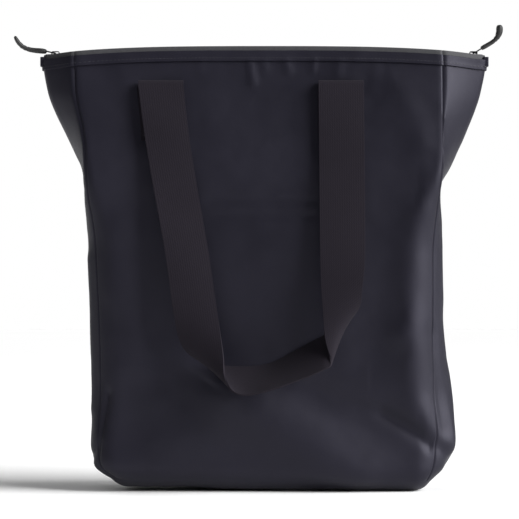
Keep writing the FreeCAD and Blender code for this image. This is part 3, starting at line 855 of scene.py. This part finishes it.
def thicken(piece, inner, outer):
    # gives a sheet two faces, inner and outer metres along its outward directions
    setPoints(piece, points(piece) + points(piece, "outward") * inner)
    edit(piece, action="SELECT")
    bpy.ops.mesh.extrude_region()
    leave()
    raised = picked(piece)
    places = points(piece)
    places[raised] += points(piece, "outward")[raised] * (outer - inner)
    setPoints(piece, places)
    keepAttribute(piece, "layer", np.stack([raised, raised, raised], axis=1))
    return piece


def layOut(piece):
    # unrolls a cloth piece: metres round the bag and up it
    across, depth, up = points(piece, "flat").T
    onSide = isAt(np.abs(across), halfWidth)
    isBack = isAt(depth, halfDepth) & ~onSide
    isBase = isAt(up, 0) & ~isAt(np.abs(depth), halfDepth)
    sideways = np.sign(across) * (halfWidth + np.abs(depth + halfDepth))
    around = np.where(onSide, sideways, across)
    around = np.where(isBack, 2 * (halfWidth + halfDepth) - across, around)
    around = np.where(isBase, across, around)
    rise = np.where(isBase, -(depth + halfDepth), up)
    setUnrolled(piece, np.stack([around, rise], axis=1))


def setUnrolled(piece, values):
    # the piece's own flat pattern, and no other
    if "cut" not in piece.data.uv_layers:
        piece.data.uv_layers.new(name="cut")
    for other in [layer.name for layer in piece.data.uv_layers if layer.name != "cut"]:
        piece.data.uv_layers.remove(piece.data.uv_layers[other])
    layer = piece.data.uv_layers["cut"]
    corners = readAll(piece.data.loops, "vertex_index")
    layer.data.foreach_set("uv", values[corners].astype(np.float32).ravel())


def paintInside(piece):
    # the inner layer has the lining's finish
    piece.data.materials.append(finishes["lining"])
    share = faceMiddles(piece, points(piece, "layer"))[:, 0]
    piece.data.polygons.foreach_set("material_index", (share < 0.25).astype(np.int32))


# Rates for cloth that would follow the closing mouth. A wall would turn with its rim from the
# waist up; a gusset less and less from its seam to its fold, which stays. The rates say how much
# more of the rim's turn the cloth takes for each metre outward from the middle of the bag, and
# upward. swayWithRim works out a slope from them but does not use it: it only bakes each piece's
# transform.
wallSway = {"start": (0, 0, 0.418), "outward": 58.8, "upward": 20.8}
gussetSway = {"fold": 0.214, "atSeam": 1.31, "upward": 8.3}


def swayWithRim(piece, sideName, end=0):
    side = sides[sideName]
    if end:
        seam = halfWidth + (seamDrift[side] if end < 0 else 0)
        inward = gussetSway["atSeam"] / (gussetSway["fold"] - seam)
        slope = Vector((-end * inward, 0, gussetSway["upward"]))
    else:
        slope = Vector((0, side * wallSway["outward"], wallSway["upward"]))
    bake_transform(piece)


def makeSkinPiece(master, name, wanted, *nodes):
    piece = thicken(cutFrom(master, name, wanted), -cloth, 0)
    layOut(piece)
    finishPiece(piece, "body_cloth")
    paintInside(piece)
    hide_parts(*nodes)
    return piece


def makeWall(master, sideName, side):
    def onWall(x, y, z):
        return isAt(y, side * halfDepth) | (isAt(z, 0) & (y * side > footLine))

    wall = makeSkinPiece(master, f"{sideName}_wall", onWall, f"{sideName}_panel",
                         f"{sideName}_panel_top")
    swayWithRim(wall, sideName)


def makeGusset(master, sideName, side, endName, end):
    # half a gusset, from its fold to one wall
    def onGusset(x, y, z):
        return isAt(x, end * halfWidth) & (y * side > 0)

    gusset = makeSkinPiece(master, f"{endName}_gusset_{sideName}_half", onGusset,
                           f"{endName}_gusset")
    swayWithRim(gusset, sideName, end)


def makeBase(master):
    def onBase(x, y, z):
        return isAt(z, 0) & (np.abs(y) < footLine)

    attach(makeSkinPiece(master, "base_cloth", onBase, "base_panel"), "bag")


master = makeSkin()
print("skin made:", len(master.data.polygons), "faces")
for sideName, side in sides.items():
    makeWall(master, sideName, side)
    for endName, end in ends.items():
        makeGusset(master, sideName, side, endName, end)
makeBase(master)
print("walls, gussets and base cut")


# hems, zip tapes and seam tapes
layers = {
    "gap": 0.05 * mm,            # between one layer and the next
    "hemCloth": 1.3 * mm,
    "tapeCloth": 0.8 * mm,
    "tapeProud": 5 * mm,         # the zip tape stands this far above the hem
    "tapeLean": 0.9,             # above the rim it leans in this share of the wall's slope
    "seamTape": 0.9 * mm,
    "patch": 1 * mm,
}
hemEdge = {
    "fold": 1.6 * mm,            # levels above the hem's lower edge
    "stitches": 3.2 * mm,
    "foldWidth": 1.4 * mm,
    "stitchWidth": 0.9 * mm,
    "fuller": 0.5 * mm,
    "drawnIn": 0.25 * mm,
    "rounding": 0.45 * mm,
}
mouthParts = {"wall": 0, **ends}


def onMouthPart(x, y, side, end):
    # the wall's part of one side of the mouth, or one gusset's where an end is given
    if end:
        return isAt(x, end * halfWidth) & (y * side > 0)
    return isAt(y, side * halfDepth) & ~isAt(np.abs(x), halfWidth)


def replacedBy(sideName, part, onWall, onGusset):
    # the CAD solid that one part of the mouth stands for
    return f"{sideName}_{onWall}" if part == "wall" else f"{part}_{onGusset}"


def makeHem(master, sideName, side, part, end):
    def onHem(x, y, z):
        return (z > hemLow) & onMouthPart(x, y, side, end)

    hem = thicken(cutFrom(master, f"{sideName}_hem_band_{part}", onHem), layers["gap"],
                  layers["hemCloth"])
    # the folded edge at the bottom is fuller than the rest of the band
    above = points(hem, "flat")[:, 2] - hemLow
    full = hemEdge["fuller"] * ridge(above - hemEdge["fold"], hemEdge["foldWidth"])
    dip = hemEdge["drawnIn"] * ridge(above - hemEdge["stitches"], hemEdge["stitchWidth"])
    change = (full - dip) * (points(hem, "layer")[:, 0] > 0.5)
    setPoints(hem, points(hem) + points(hem, "outward") * change[:, None])
    layOut(hem)
    finishPiece(hem, "body_cloth")
    rounded(hem, hemEdge["rounding"])
    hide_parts(replacedBy(sideName, part, "hem", "gusset_hem"))
    swayWithRim(hem, sideName, end)


def extendUp(piece, height, steps):
    # pulls the top edge of a cut sheet up in rows
    up = points(piece, "flat")[:, 2]
    topRow = isAt(up, up.max())
    for step in range(steps):
        starts, stops = edgePairs(piece)
        edit(piece, "EDGE")
        choose(piece, "edges", topRow[starts] & topRow[stops])
        bpy.ops.mesh.extrude_region_move(
            TRANSFORM_OT_translate={"value": (0, 0, height / steps)})
        leave()
        topRow = picked(piece)


def makeZip(master, sideName, side, part, end):
    def onTape(x, y, z):
        return (z > tapeLow) & onMouthPart(x, y, side, end)

    tape = cutFrom(master, f"{sideName}_zip_cloth_{part}", onTape)
    extendUp(tape, layers["tapeProud"], 2)
    places = points(tape)
    above = np.maximum(places[:, 2] - rim - archRise(places[:, 0]), 0)
    places[:, 1] -= side * above * math.tan(form["lean"]) * layers["tapeLean"]
    setPoints(tape, places)
    outer = -cloth - layers["gap"]
    thicken(tape, outer - layers["tapeCloth"], outer)
    layOut(tape)
    finishPiece(tape, "zip_tape")
    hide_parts(replacedBy(sideName, part, "zip_tape", "tape_ends"))
    swayWithRim(tape, sideName, end)


def mouthPath(side, pitch, level):
    # evenly spaced places along one side of the mouth, from the left fold to the right
    count = round(2 * (halfWidth + halfDepth) / pitch)
    endGap = form["gussetFold"] * 0.4         # the path stops just short of a gusset's fold
    total = 2 * (halfWidth + halfDepth - endGap)
    found = []
    for index in range(count):
        way = total * (index + 0.5) / count - total / 2
        over = max(abs(way) - halfWidth, 0)
        across = math.copysign(min(abs(way), halfWidth), way)
        found.append((across, side * (halfDepth - over), level))
    return np.array(found)


def squareTo(flat, side):
    # where the path stands, its direction, and the way out of the bag, at each place
    places = settle(flat)
    along = unit(np.gradient(places, axis=0))
    return places, along, unit(np.cross(along, (0, 0, -side)))


def placeCopies(template, name, places, along, outward):
    # copies of one small piece, its x along the path and its z outward, joined into one
    twins = []
    for place, ahead, out in zip(places, along, outward):
        twin = copied(template, name)
        turn = Matrix((ahead, np.cross(out, ahead), out)).transposed().to_4x4()
        twin.data.transform(Matrix.Translation(Vector(place)) @ turn)
        twins.append(twin)
    bpy.ops.object.select_all(action="DESELECT")
    for twin in twins:
        twin.select_set(True)
    bpy.context.view_layer.objects.active = twins[0]
    bpy.ops.object.join()
    joined = bpy.context.object
    joined.name = name
    return joined


coilLow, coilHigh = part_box("front_zip_coil")
teeth = {
    "pitch": 1.55 * mm,
    "length": 2.5 * mm,
    "width": 0.95 * mm,
    "height": 2.1 * mm,
    "rounding": 0.32 * mm,
    "rise": (coilLow.z + coilHigh.z) / 2 - rim,
    "inset": 2.9 * mm,
}


def makeTooth():
    # one turn of the coil, seen from outside: a rounded bead
    bpy.ops.mesh.primitive_cube_add(size=1)
    tooth = bpy.context.object
    tooth.scale = (teeth["width"], teeth["height"], teeth["length"])
    bpy.ops.object.transform_apply(scale=True)
    edit(tooth, action="SELECT")
    bpy.ops.mesh.bevel(offset=teeth["rounding"], segments=1, affect="EDGES")
    leave()
    return tooth


def makeTeeth(sideName, side, tooth):
    flat = mouthPath(side, teeth["pitch"], rim)
    places, along, outward = squareTo(flat, side)
    places = places - outward * teeth["inset"]
    places[:, 2] += teeth["rise"]
    places[:, 1] -= side * teeth["rise"] * math.tan(form["lean"])
    for part, end in mouthParts.items():
        here = onMouthPart(flat[:, 0], flat[:, 1], side, end)
        coil = placeCopies(tooth, f"{sideName}_zip_teeth_{part}", places[here], along[here],
                           outward[here])
        setUnrolled(coil, points(coil)[:, [0, 2]])
        finishPiece(coil, "zip_coil")
        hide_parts(replacedBy(sideName, part, "zip_coil", "coil_ends"))
        swayWithRim(coil, sideName, end)


def makeTape(master, name, wanted, *nodes):
    # binding over the raw edges of a seam, inside the bag
    tape = thicken(cutFrom(master, name, wanted), -cloth - layers["seamTape"], -cloth)
    layOut(tape)
    finishPiece(tape, "binding")
    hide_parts(*nodes)
    return tape


def makeSeamTapes(master, sideName, side):
    def onTape(x, y, z):
        standing = isAt(y, side * halfDepth) & (z < tapeLow)
        under = isAt(z, 0) & (y * side > footLine)
        return (np.abs(x) > halfWidth - bindingWidth) & (standing | under)

    tapes = makeTape(master, f"{sideName}_seam_tapes", onTape, f"{sideName}_bindings",
                     f"{sideName}_top_bindings")
    swayWithRim(tapes, sideName)


def makeBaseTapes(master):
    def onTape(x, y, z):
        return isAt(z, 0) & (np.abs(y) < footLine) & (np.abs(x) > halfWidth - bindingWidth)

    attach(makeTape(master, "base_seam_tapes", onTape, "base_bindings"), "bag")


pocket = {"cloth": 0.8 * mm, "gap": 0.1 * mm, "slack": 3 * mm, "stitchInset": 2.5 * mm}


def makePocketPiece(master, name, low, gap, node):
    def onPocket(x, y, z):
        inside = (x > pocketLow.x) & (x < pocketHigh.x) & (z > low) & (z < pocketHigh.z)
        return inside & isAt(y, halfDepth)

    piece = cutFrom(master, name, onPocket)
    # the mouth of the pocket stands a little away from the wall
    across, depth, up = points(piece, "flat").T
    middle = 1 - np.abs(across) / pocketHigh.x
    slack = pocket["slack"] * ease(up, pocketLow.z, pocketHigh.z) * ease(middle, 0, 0.7)
    setPoints(piece, points(piece) - points(piece, "outward") * slack[:, None])
    thicken(piece, -cloth - gap - pocket["cloth"], -cloth - gap)
    layOut(piece)
    finishPiece(piece, "body_cloth", "lining")
    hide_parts(node)
    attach(piece, "bag")


def onEnds(side, extra):
    # finds the two places where a handle is sewn to its wall, and extra metres round them
    def found(x, y, z):
        wanted = np.zeros(len(x), bool)
        for middle in handle["middles"]:
            wanted |= np.abs(x - middle) < handle["half"] + extra
        low = handle["sewnLow"] - extra
        high = handle["sewnTop"] + extra
        return wanted & (z > low) & (z < high) & isAt(y, side * halfDepth)
    return found


def makeSewnEnds(master, sideName, side):
    sewn = thicken(cutFrom(master, f"{sideName}_sewn_ends", onEnds(side, 0)), layers["gap"],
                   handle["webbing"])
    # unrolled like the strap, across first
    setUnrolled(sewn, points(sewn, "flat")[:, [0, 2]])
    finishPiece(sewn, "webbing")
    rounded(sewn, 0.5 * mm)
    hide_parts(f"{sideName}_handle_ends")
    swayWithRim(sewn, sideName)

    # the patches inside take the load of the sewn ends
    patches = thicken(cutFrom(master, f"{sideName}_inner_patches", onEnds(side, handle["margin"])),
                      -cloth - layers["patch"], -cloth - layers["gap"])
    layOut(patches)
    finishPiece(patches, "body_cloth", "lining")
    rounded(patches, 0.3 * mm)
    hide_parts(f"{sideName}_handle_patches")
    swayWithRim(patches, sideName)


tooth = makeTooth()
for sideName, side in sides.items():
    for part, end in mouthParts.items():
        makeHem(master, sideName, side, part, end)
        makeZip(master, sideName, side, part, end)
    makeTeeth(sideName, side, tooth)
    makeSeamTapes(master, sideName, side)
    makeSewnEnds(master, sideName, side)
makeBaseTapes(master)
makePocketPiece(master, "pocket_pouch", pocketLow.z, pocket["gap"], "stow_pocket")
makePocketPiece(master, "pocket_top_hem", pocketHemLow, pocket["gap"] + pocket["cloth"],
                "stow_pocket_hem")
bpy.data.objects.remove(tooth)
print("hems, zip, tapes and pocket made")


# handles
# Stations of the webbing from the left fold to the right: inner edge, outer edge, each as
# across from the sewn end, out from the upright wall, down from the fold, in millimetres.
hangsAt = -8.1                   # the top of the wall leans in, and the webbing with it
leftRoute = [
    ((21.5, hangsAt, 0), (-21.5, hangsAt, 0)),
    ((27, 1, 49), (-15.5, 1, 44)),
    ((35, 10, 96), (-8, 10, 90)),
    ((46.5, 20, 162), (4, 20, 154)),
    ((56, 29, 225), (13, 26, 218)),
    ((59.5, 35, 253), (20, 20, 246)),
    ((60.5, 40, 275), (33, 13, 260)),
    ((68, 42.5, 290), (53, 10, 267)),
    ((83, 43, 294), (79, 9, 268.5)),
]
rightRoute = [
    ((-65, 44, 288), (-68, 8, 266)),
    ((-39, 43, 279), (-44, 8, 254)),
    ((-19, 41, 271), (-16, 12, 239)),
    ((-10, 37, 264), (2, 14, 230)),
    ((-16, 30, 238), (16, 23, 212)),
    ((-18, 26, 212), (19, 24, 192)),
    ((-20, 20, 173), (21.5, 20, 164)),
    ((-20.5, 10, 103), (21.5, 10, 101)),
    ((-21, 1, 48), (21.5, 1, 47)),
    ((-21.5, hangsAt, 0), (21.5, hangsAt, 0)),
]
strap = {
    "acrossCells": 14,
    "stepsPerStation": 9,
    "foldSteps": 9,
    "cup": 0.5 * mm,             # the webbing is a little dished across
    "wander": 0.5 * mm,          # and a little uneven along
    "wanderRate": 41,
    "stiffEnds": 50 * mm,        # but neither of them near its sewn ends
    "rounding": 0.5 * mm,
    "turnsFrom": 32.2 * mm,      # depths between which the fold gives way to the swinging loop
    "turnsTo": 37.6 * mm,
}


def foldStations(middle, out, inner, leftSide):
    # the turn over the top of a sewn end, from the wall out to the hanging webbing
    stations = []
    centre = (inner + out) / 2
    radius = (inner - out) / 2
    for step in range(strap["foldSteps"]):
        turn = math.pi * step / strap["foldSteps"]
        depth = centre + radius * math.cos(turn)
        level = handle["foldLevel"] + abs(radius) * math.sin(turn)
        stations.append((middle, depth, level))
    return stations if leftSide else stations[::-1]


def throughPoints(stations, steps):
    # an even curve through the stations
    stations = np.array(stations)
    count = len(stations)
    found = []
    for index in range(count - 1):
        before = stations[max(index - 1, 0)]
        here, there = stations[index], stations[index + 1]
        after = stations[min(index + 2, count - 1)]
        slopeHere = (there - before) / (2 if index else 1)
        slopeThere = (after - here) / (2 if index + 2 < count else 1)
        for step in range(steps):
            t = step / steps
            found.append(here * (1 + 2 * t) * (1 - t) ** 2 + slopeHere * t * (1 - t) ** 2
                         + there * t * t * (3 - 2 * t) + slopeThere * t * t * (t - 1))
    found.append(stations[-1])
    return np.array(found)


def strapEdges(side):
    innerEdge, outerEdge = [], []
    for middle, route in zip(handle["middles"], (leftRoute, rightRoute)):
        for pair in route:
            for edge, (across, out, down) in zip((innerEdge, outerEdge), pair):
                depth = halfDepth + out * mm
                edge.append((middle + across * mm, depth, handle["foldLevel"] - down * mm))
    edges = [throughPoints(edge, strap["stepsPerStation"]) for edge in (innerEdge, outerEdge)]
    hanging = halfDepth + hangsAt * mm
    sewnFace = float(wallDepth(np.array([handle["sewnTop"]]))[0]) + handle["webbing"] / 2
    whole = []
    for edge, towards in zip(edges, (1, -1)):
        offset = towards * handle["half"]
        first = foldStations(handle["middles"][0] + offset, hanging, sewnFace, True)
        last = foldStations(handle["middles"][1] - offset, hanging, sewnFace, False)
        whole.append(np.concatenate([first, edge, last]))
    for edge in whole:
        edge[:, 1] *= side
    return whole


def strapShape(innerEdge, outerEdge, side):
    # the webbing's middle line, its two square directions, and the way travelled along it
    middle = (innerEdge + outerEdge) / 2
    across = unit(outerEdge - innerEdge)
    outward = unit(np.cross(unit(np.gradient(middle, axis=0)), across) * side)
    steps = np.linalg.norm(np.diff(middle, axis=0), axis=1)
    return middle, across, outward, np.concatenate([[0], np.cumsum(steps)])


def makeStrap(sideName, side):
    innerEdge, outerEdge = strapEdges(side)
    middle, across, outward, travelled = strapShape(innerEdge, outerEdge, side)
    rows = len(middle)
    cells = strap["acrossCells"]
    bpy.ops.mesh.primitive_grid_add(x_subdivisions=cells, y_subdivisions=rows - 1, size=1)
    band = bpy.context.object
    band.name = f"{sideName}_strap"
    grid = points(band)
    column = np.rint((grid[:, 0] + 0.5) * cells).astype(int)
    row = np.rint((grid[:, 1] + 0.5) * (rows - 1)).astype(int)
    share = column / cells * 2 - 1
    way = travelled[row]
    total = travelled[-1]
    stiff = strap["stiffEnds"]
    loose = ease(way, 0, stiff) * (1 - ease(way, total - stiff, total))
    dish = strap["cup"] * (share ** 2 - 0.4) * loose
    wander = strap["wander"] * np.sin(way * strap["wanderRate"] + share * 0.8) * loose
    sideways = share * handle["half"]
    setPoints(band, middle[row] + across[row] * sideways[:, None]
              + outward[row] * (wander - dish)[:, None])
    keepAttribute(band, "outward", outward[row])
    keepAttribute(band, "flat", np.stack([sideways, way, way], axis=1))
    thicken(band, -handle["webbing"] / 2, handle["webbing"] / 2)
    setUnrolled(band, points(band, "flat")[:, :2])
    finishPiece(band, "webbing")
    rounded(band, strap["rounding"])
    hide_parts(f"{sideName}_handle", f"{sideName}_handle_folds")
    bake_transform(band)
    return total


for sideName, side in sides.items():
    loopLength = makeStrap(sideName, side)
print("handles made, loop", round(loopLength, 3), "m")


# sliders, pulls and the folded ends of the zip
slider = {"body": 0.35 * mm, "plate": 0.3 * mm, "segments": 3, "angle": 35}


def solidCopy(node, name, body, rounding):
    # a machined node, merged and with its edges rounded
    piece = copied(frame["nodes"][node], name)
    piece.parent = None
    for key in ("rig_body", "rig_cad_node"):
        if key in piece:
            del piece[key]
    edit(piece, "VERT", "SELECT")
    bpy.ops.mesh.remove_doubles(threshold=0.01 * mm)
    bpy.ops.mesh.dissolve_limited(angle_limit=math.radians(2))
    leave()
    rounded(piece, rounding, slider["segments"], slider["angle"])
    finishPiece(piece, "slider_metal")
    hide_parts(node)
    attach(piece, body)


# Each grip is drawn along its own middle line: how far along, how far off the line of the
# pull plate, half width and half thickness, in millimetres.
grips = {
    "left": [
        (8.5, -0.4, 2.6, 1.7), (10, -0.5, 3.3, 2.5), (14, -1.0, 3.6, 2.8), (19, -1.9, 3.1, 2.6),
        (25, -2.6, 3.0, 2.4), (31, -2.0, 3.6, 2.4), (36, 0.4, 4.3, 2.3), (40, 4.0, 4.3, 2.0),
        (42.4, 7.0, 3.0, 1.4),
    ],
    "right": [
        (8.5, 0, 2.6, 1.6), (10, 0, 3.2, 2.2), (14, -0.2, 3.1, 2.3), (19, -0.4, 2.7, 2.1),
        (24, -0.2, 2.8, 2.2), (28.5, 1.2, 3.6, 2.8), (32, 4.0, 4.4, 3.4), (34.4, 7.4, 4.5, 3.5),
        (36.0, 10.4, 3.4, 2.5),
    ],
}


groove = {"shares": (0.66, 0.75, 0.84), "width": 0.55 * mm, "depth": 0.45 * mm,
          "reach": 4.6 * mm}


def makeGrip(endName, end):
    # a twelve-sided ring pulled out along the grip, ring by ring
    joint = next(j for j in frame["joints"] if j["name"] == f"{endName}_pull_swing")
    pivot = Vector(joint["pos_m"])
    pitch = math.radians(90 - joint["range_deg"][1])
    ahead = Vector((end * math.cos(pitch), 0, math.sin(pitch)))
    lift = Vector((-end * math.sin(pitch), 0, math.cos(pitch)))
    sideways = Vector((0, 1, 0))
    rings = grips[endName]
    bpy.ops.mesh.primitive_circle_add(vertices=12, radius=1, fill_type="NGON")
    grip = bpy.context.object
    grip.name = f"{endName}_pull_moulding"
    circle = points(grip)[:, :2]

    def ringPlaces(index):
        # superellipse rings, square to the middle line
        along, off, wide, thick = rings[index]
        before, after = rings[max(index - 1, 0)], rings[min(index + 1, len(rings) - 1)]
        run = ahead * (after[0] - before[0]) + lift * (after[1] - before[1])
        run.normalize()
        up = run.cross(sideways) * -end
        centre = pivot + (ahead * along + lift * off) * mm
        places = []
        for x, y in circle:
            squarer = (abs(x) ** 4 + abs(y) ** 4) ** -0.25 * 0.5 + 0.5
            spoke = sideways * (x * wide * squarer) + up * (y * thick * squarer)
            places.append(centre + spoke * mm)
        return np.array(places)

    ring = np.ones(len(circle), bool)
    setPoints(grip, ringPlaces(0))
    for index in range(1, len(rings)):
        edit(grip, "VERT")
        choose(grip, "vertices", ring)
        bpy.ops.mesh.select_mode(type="FACE")
        bpy.ops.mesh.extrude_region()
        leave()
        ring = picked(grip)
        places = points(grip)
        places[ring] = ringPlaces(index)
        setPoints(grip, places)
    softened(grip, 3)
    cutGrooves(grip, rings, pivot, np.array(ahead), np.array(lift))
    finishPiece(grip, "pull_rubber", angle=60)
    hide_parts(f"{endName}_pull_grip")
    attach(grip, f"{endName}_pull")


def cutGrooves(grip, rings, pivot, ahead, lift):
    # three shallow grooves across the wide end, top and underneath
    places = points(grip)
    local = places - np.array(pivot)
    along = local @ ahead
    stations = np.array(rings) * mm
    middle = np.interp(along, stations[:, 0], stations[:, 1])
    thin = np.clip(1 - np.abs(places[:, 1]) / groove["reach"], 0, 1)
    inward = np.sign(local @ lift - middle) * thin * groove["depth"]
    for share in groove["shares"]:
        near = ridge(along - stations[:, 0].max() * share, groove["width"])
        places -= (inward * near)[:, None] * lift
    setPoints(grip, places)


zipTab = {
    "length": 5 * mm,
    "overlap": 4 * mm,           # over the ends of the two tapes
    "rise": 3 * mm,
    "cuts": 5,
    "rounding": 0.2 * mm,
    "taper": 0.35,
    "flank": 0.86,
    "crown": 0.12,
}


def makeZipTab(endName, end):
    # cloth folded over the end of the zip: a soft rounded block, lower at its flanks
    low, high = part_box(f"{endName}_zip_end")
    middle = (low + high) / 2
    inner = settle(np.array([(end * halfWidth, 0, middle.z)]))[0, 0] + end * cloth
    middle.z += zipTab["rise"]
    length = zipTab["length"]
    middle.x = inner + end * (length / 2 - zipTab["overlap"])
    bpy.ops.mesh.primitive_cube_add(size=1, location=(middle.x, 0, middle.z))
    tab = bpy.context.object
    tab.name = f"{endName}_zip_tab"
    tab.scale = (length, high.y - low.y, high.z - low.z)
    bpy.ops.object.transform_apply(location=True, scale=True)
    edit(tab, action="SELECT")
    bpy.ops.mesh.subdivide(number_cuts=zipTab["cuts"])
    bpy.ops.mesh.bevel(offset=zipTab["rounding"], segments=1, affect="EDGES")
    leave()
    softened(tab, 1)
    places = points(tab)
    away = (places[:, 0] - inner) * end / length
    places[:, 1] *= np.clip(1 - away * zipTab["taper"], 0.4, 1)
    crown = 1 - (np.abs(places[:, 1]) / (high.y - low.y) * 2) ** 2
    fullness = zipTab["flank"] + zipTab["crown"] * crown
    places[:, 2] = middle.z + (places[:, 2] - middle.z) * fullness
    setPoints(tab, places)
    setUnrolled(tab, places[:, [1, 2]])
    finishPiece(tab, "body_cloth")
    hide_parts(f"{endName}_zip_end")
    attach(tab, "bag")


for endName in ends:
    solidCopy(f"{endName}_slider_body", f"{endName}_slider", f"{endName}_slider", slider["body"])
    solidCopy(f"{endName}_pull_tab", f"{endName}_pull_plate", f"{endName}_pull", slider["plate"])
for endName, end in ends.items():
    makeGrip(endName, end)
    makeZipTab(endName, end)
print("sliders and pulls made")


# stitching
stitch = {
    "pitch": 3.4 * mm,
    "length": 2.7 * mm,
    "thick": 0.5 * mm,
    "narrower": 0.45,            # at its ends a stitch is thinner
    "dip": 0.3 * mm,             # and goes down into the cloth
    "inset": 3 * mm,             # from the edge of the webbing
}


def makeStitch():
    # one stitch: a short rounded bar that dips at both ends
    bpy.ops.mesh.primitive_cube_add(size=1)
    bar = bpy.context.object
    bar.scale = (stitch["length"], stitch["thick"], stitch["thick"])
    bpy.ops.object.transform_apply(scale=True)
    edit(bar, "EDGE")
    choose(bar, "edges", gridEdges(bar, 0))
    bpy.ops.mesh.subdivide(number_cuts=3)
    leave()
    places = points(bar)
    share = np.abs(places[:, 0]) / (stitch["length"] / 2)
    places[:, 1] *= 1 - stitch["narrower"] * share ** 3
    places[:, 2] -= stitch["dip"] * share ** 3
    setPoints(bar, places)
    return bar


def stitchRun(corners, side):
    # evenly spaced places along straight runs on a wall of the flat cloth
    found = []
    for (startX, startZ), (endX, endZ) in zip(corners, corners[1:]):
        length = math.hypot(endX - startX, endZ - startZ)
        count = max(round(length / stitch["pitch"]), 1)
        for index in range(count):
            share = (index + 0.5) / count
            place = (startX + (endX - startX) * share, side * halfDepth,
                     startZ + (endZ - startZ) * share)
            found.append((place, ((endX - startX) / length, 0, (endZ - startZ) / length)))
    return found


def sewOn(name, runs, lift, side, bar):
    # stitches standing lift metres outside the cloth, or inside it where lift is negative
    flat = np.array([place for place, way in runs])
    ways = np.array([way for place, way in runs])
    step = 0.8 * mm
    cross = np.cross(ways, (0, side, 0))
    along = unit(settle(flat + ways * step) - settle(flat - ways * step))
    beside = settle(flat + cross * step) - settle(flat - cross * step)
    outward = unit(np.cross(beside, along))
    outward *= np.sign(outward[:, 1] * side)[:, None]
    facing = outward if lift > 0 else -outward
    return placeCopies(bar, name, settle(flat) + outward * lift, along, facing)


def finishThread(piece, slot):
    setUnrolled(piece, points(piece)[:, [0, 2]])
    finishPiece(piece, slot, "thread")


def stitchHem(sideName, side, bar):
    around = mouthPath(side, stitch["pitch"], hemLow + hemEdge["stitches"])
    places, along, outward = squareTo(around, side)
    places = places + outward * (layers["hemCloth"] - 0.1 * mm)
    for part, end in mouthParts.items():
        here = onMouthPart(around[:, 0], around[:, 1], side, end)
        hem = placeCopies(bar, f"{sideName}_hem_stitches_{part}", places[here], along[here],
                          outward[here])
        finishThread(hem, "body_cloth")
        swayWithRim(hem, sideName, end)


def stitchEnds(sideName, side, bar):
    # a box and a cross on each sewn end, seen outside and on the patch inside
    inset = stitch["inset"]
    low, high = handle["sewnLow"] + inset, handle["sewnTop"] - inset * 1.5
    runs = []
    for middle in handle["middles"]:
        left, right = middle - handle["half"] + inset, middle + handle["half"] - inset
        box = [(left, low), (right, low), (right, high), (left, high), (left, low)]
        for corners in (box, [(left, low), (right, high)], [(left, high), (right, low)]):
            runs += stitchRun(corners, side)
    for name, lift, slot in (
            ("end", handle["webbing"] + 0.02 * mm, "webbing"),
            ("patch", -cloth - layers["patch"] - 0.02 * mm, "body_cloth")):
        seam = sewOn(f"{sideName}_{name}_stitches", runs, lift, side, bar)
        finishThread(seam, slot)
        swayWithRim(seam, sideName)


bar = makeStitch()
for sideName, side in sides.items():
    stitchHem(sideName, side, bar)
    stitchEnds(sideName, side, bar)
inset = pocket["stitchInset"]
pocketRuns = stitchRun([(pocketLow.x + inset, pocketHigh.z - inset),
                        (pocketLow.x + inset, pocketLow.z + inset),
                        (pocketHigh.x - inset, pocketLow.z + inset),
                        (pocketHigh.x - inset, pocketHigh.z - inset)], 1)
pocketStitches = sewOn("pocket_stitches", pocketRuns, -cloth - pocket["cloth"] - 0.15 * mm,
                       1, bar)
finishThread(pocketStitches, "body_cloth")
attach(pocketStitches, "bag")
bpy.data.objects.remove(bar)
print("stitching made")

bpy.data.objects.remove(master)
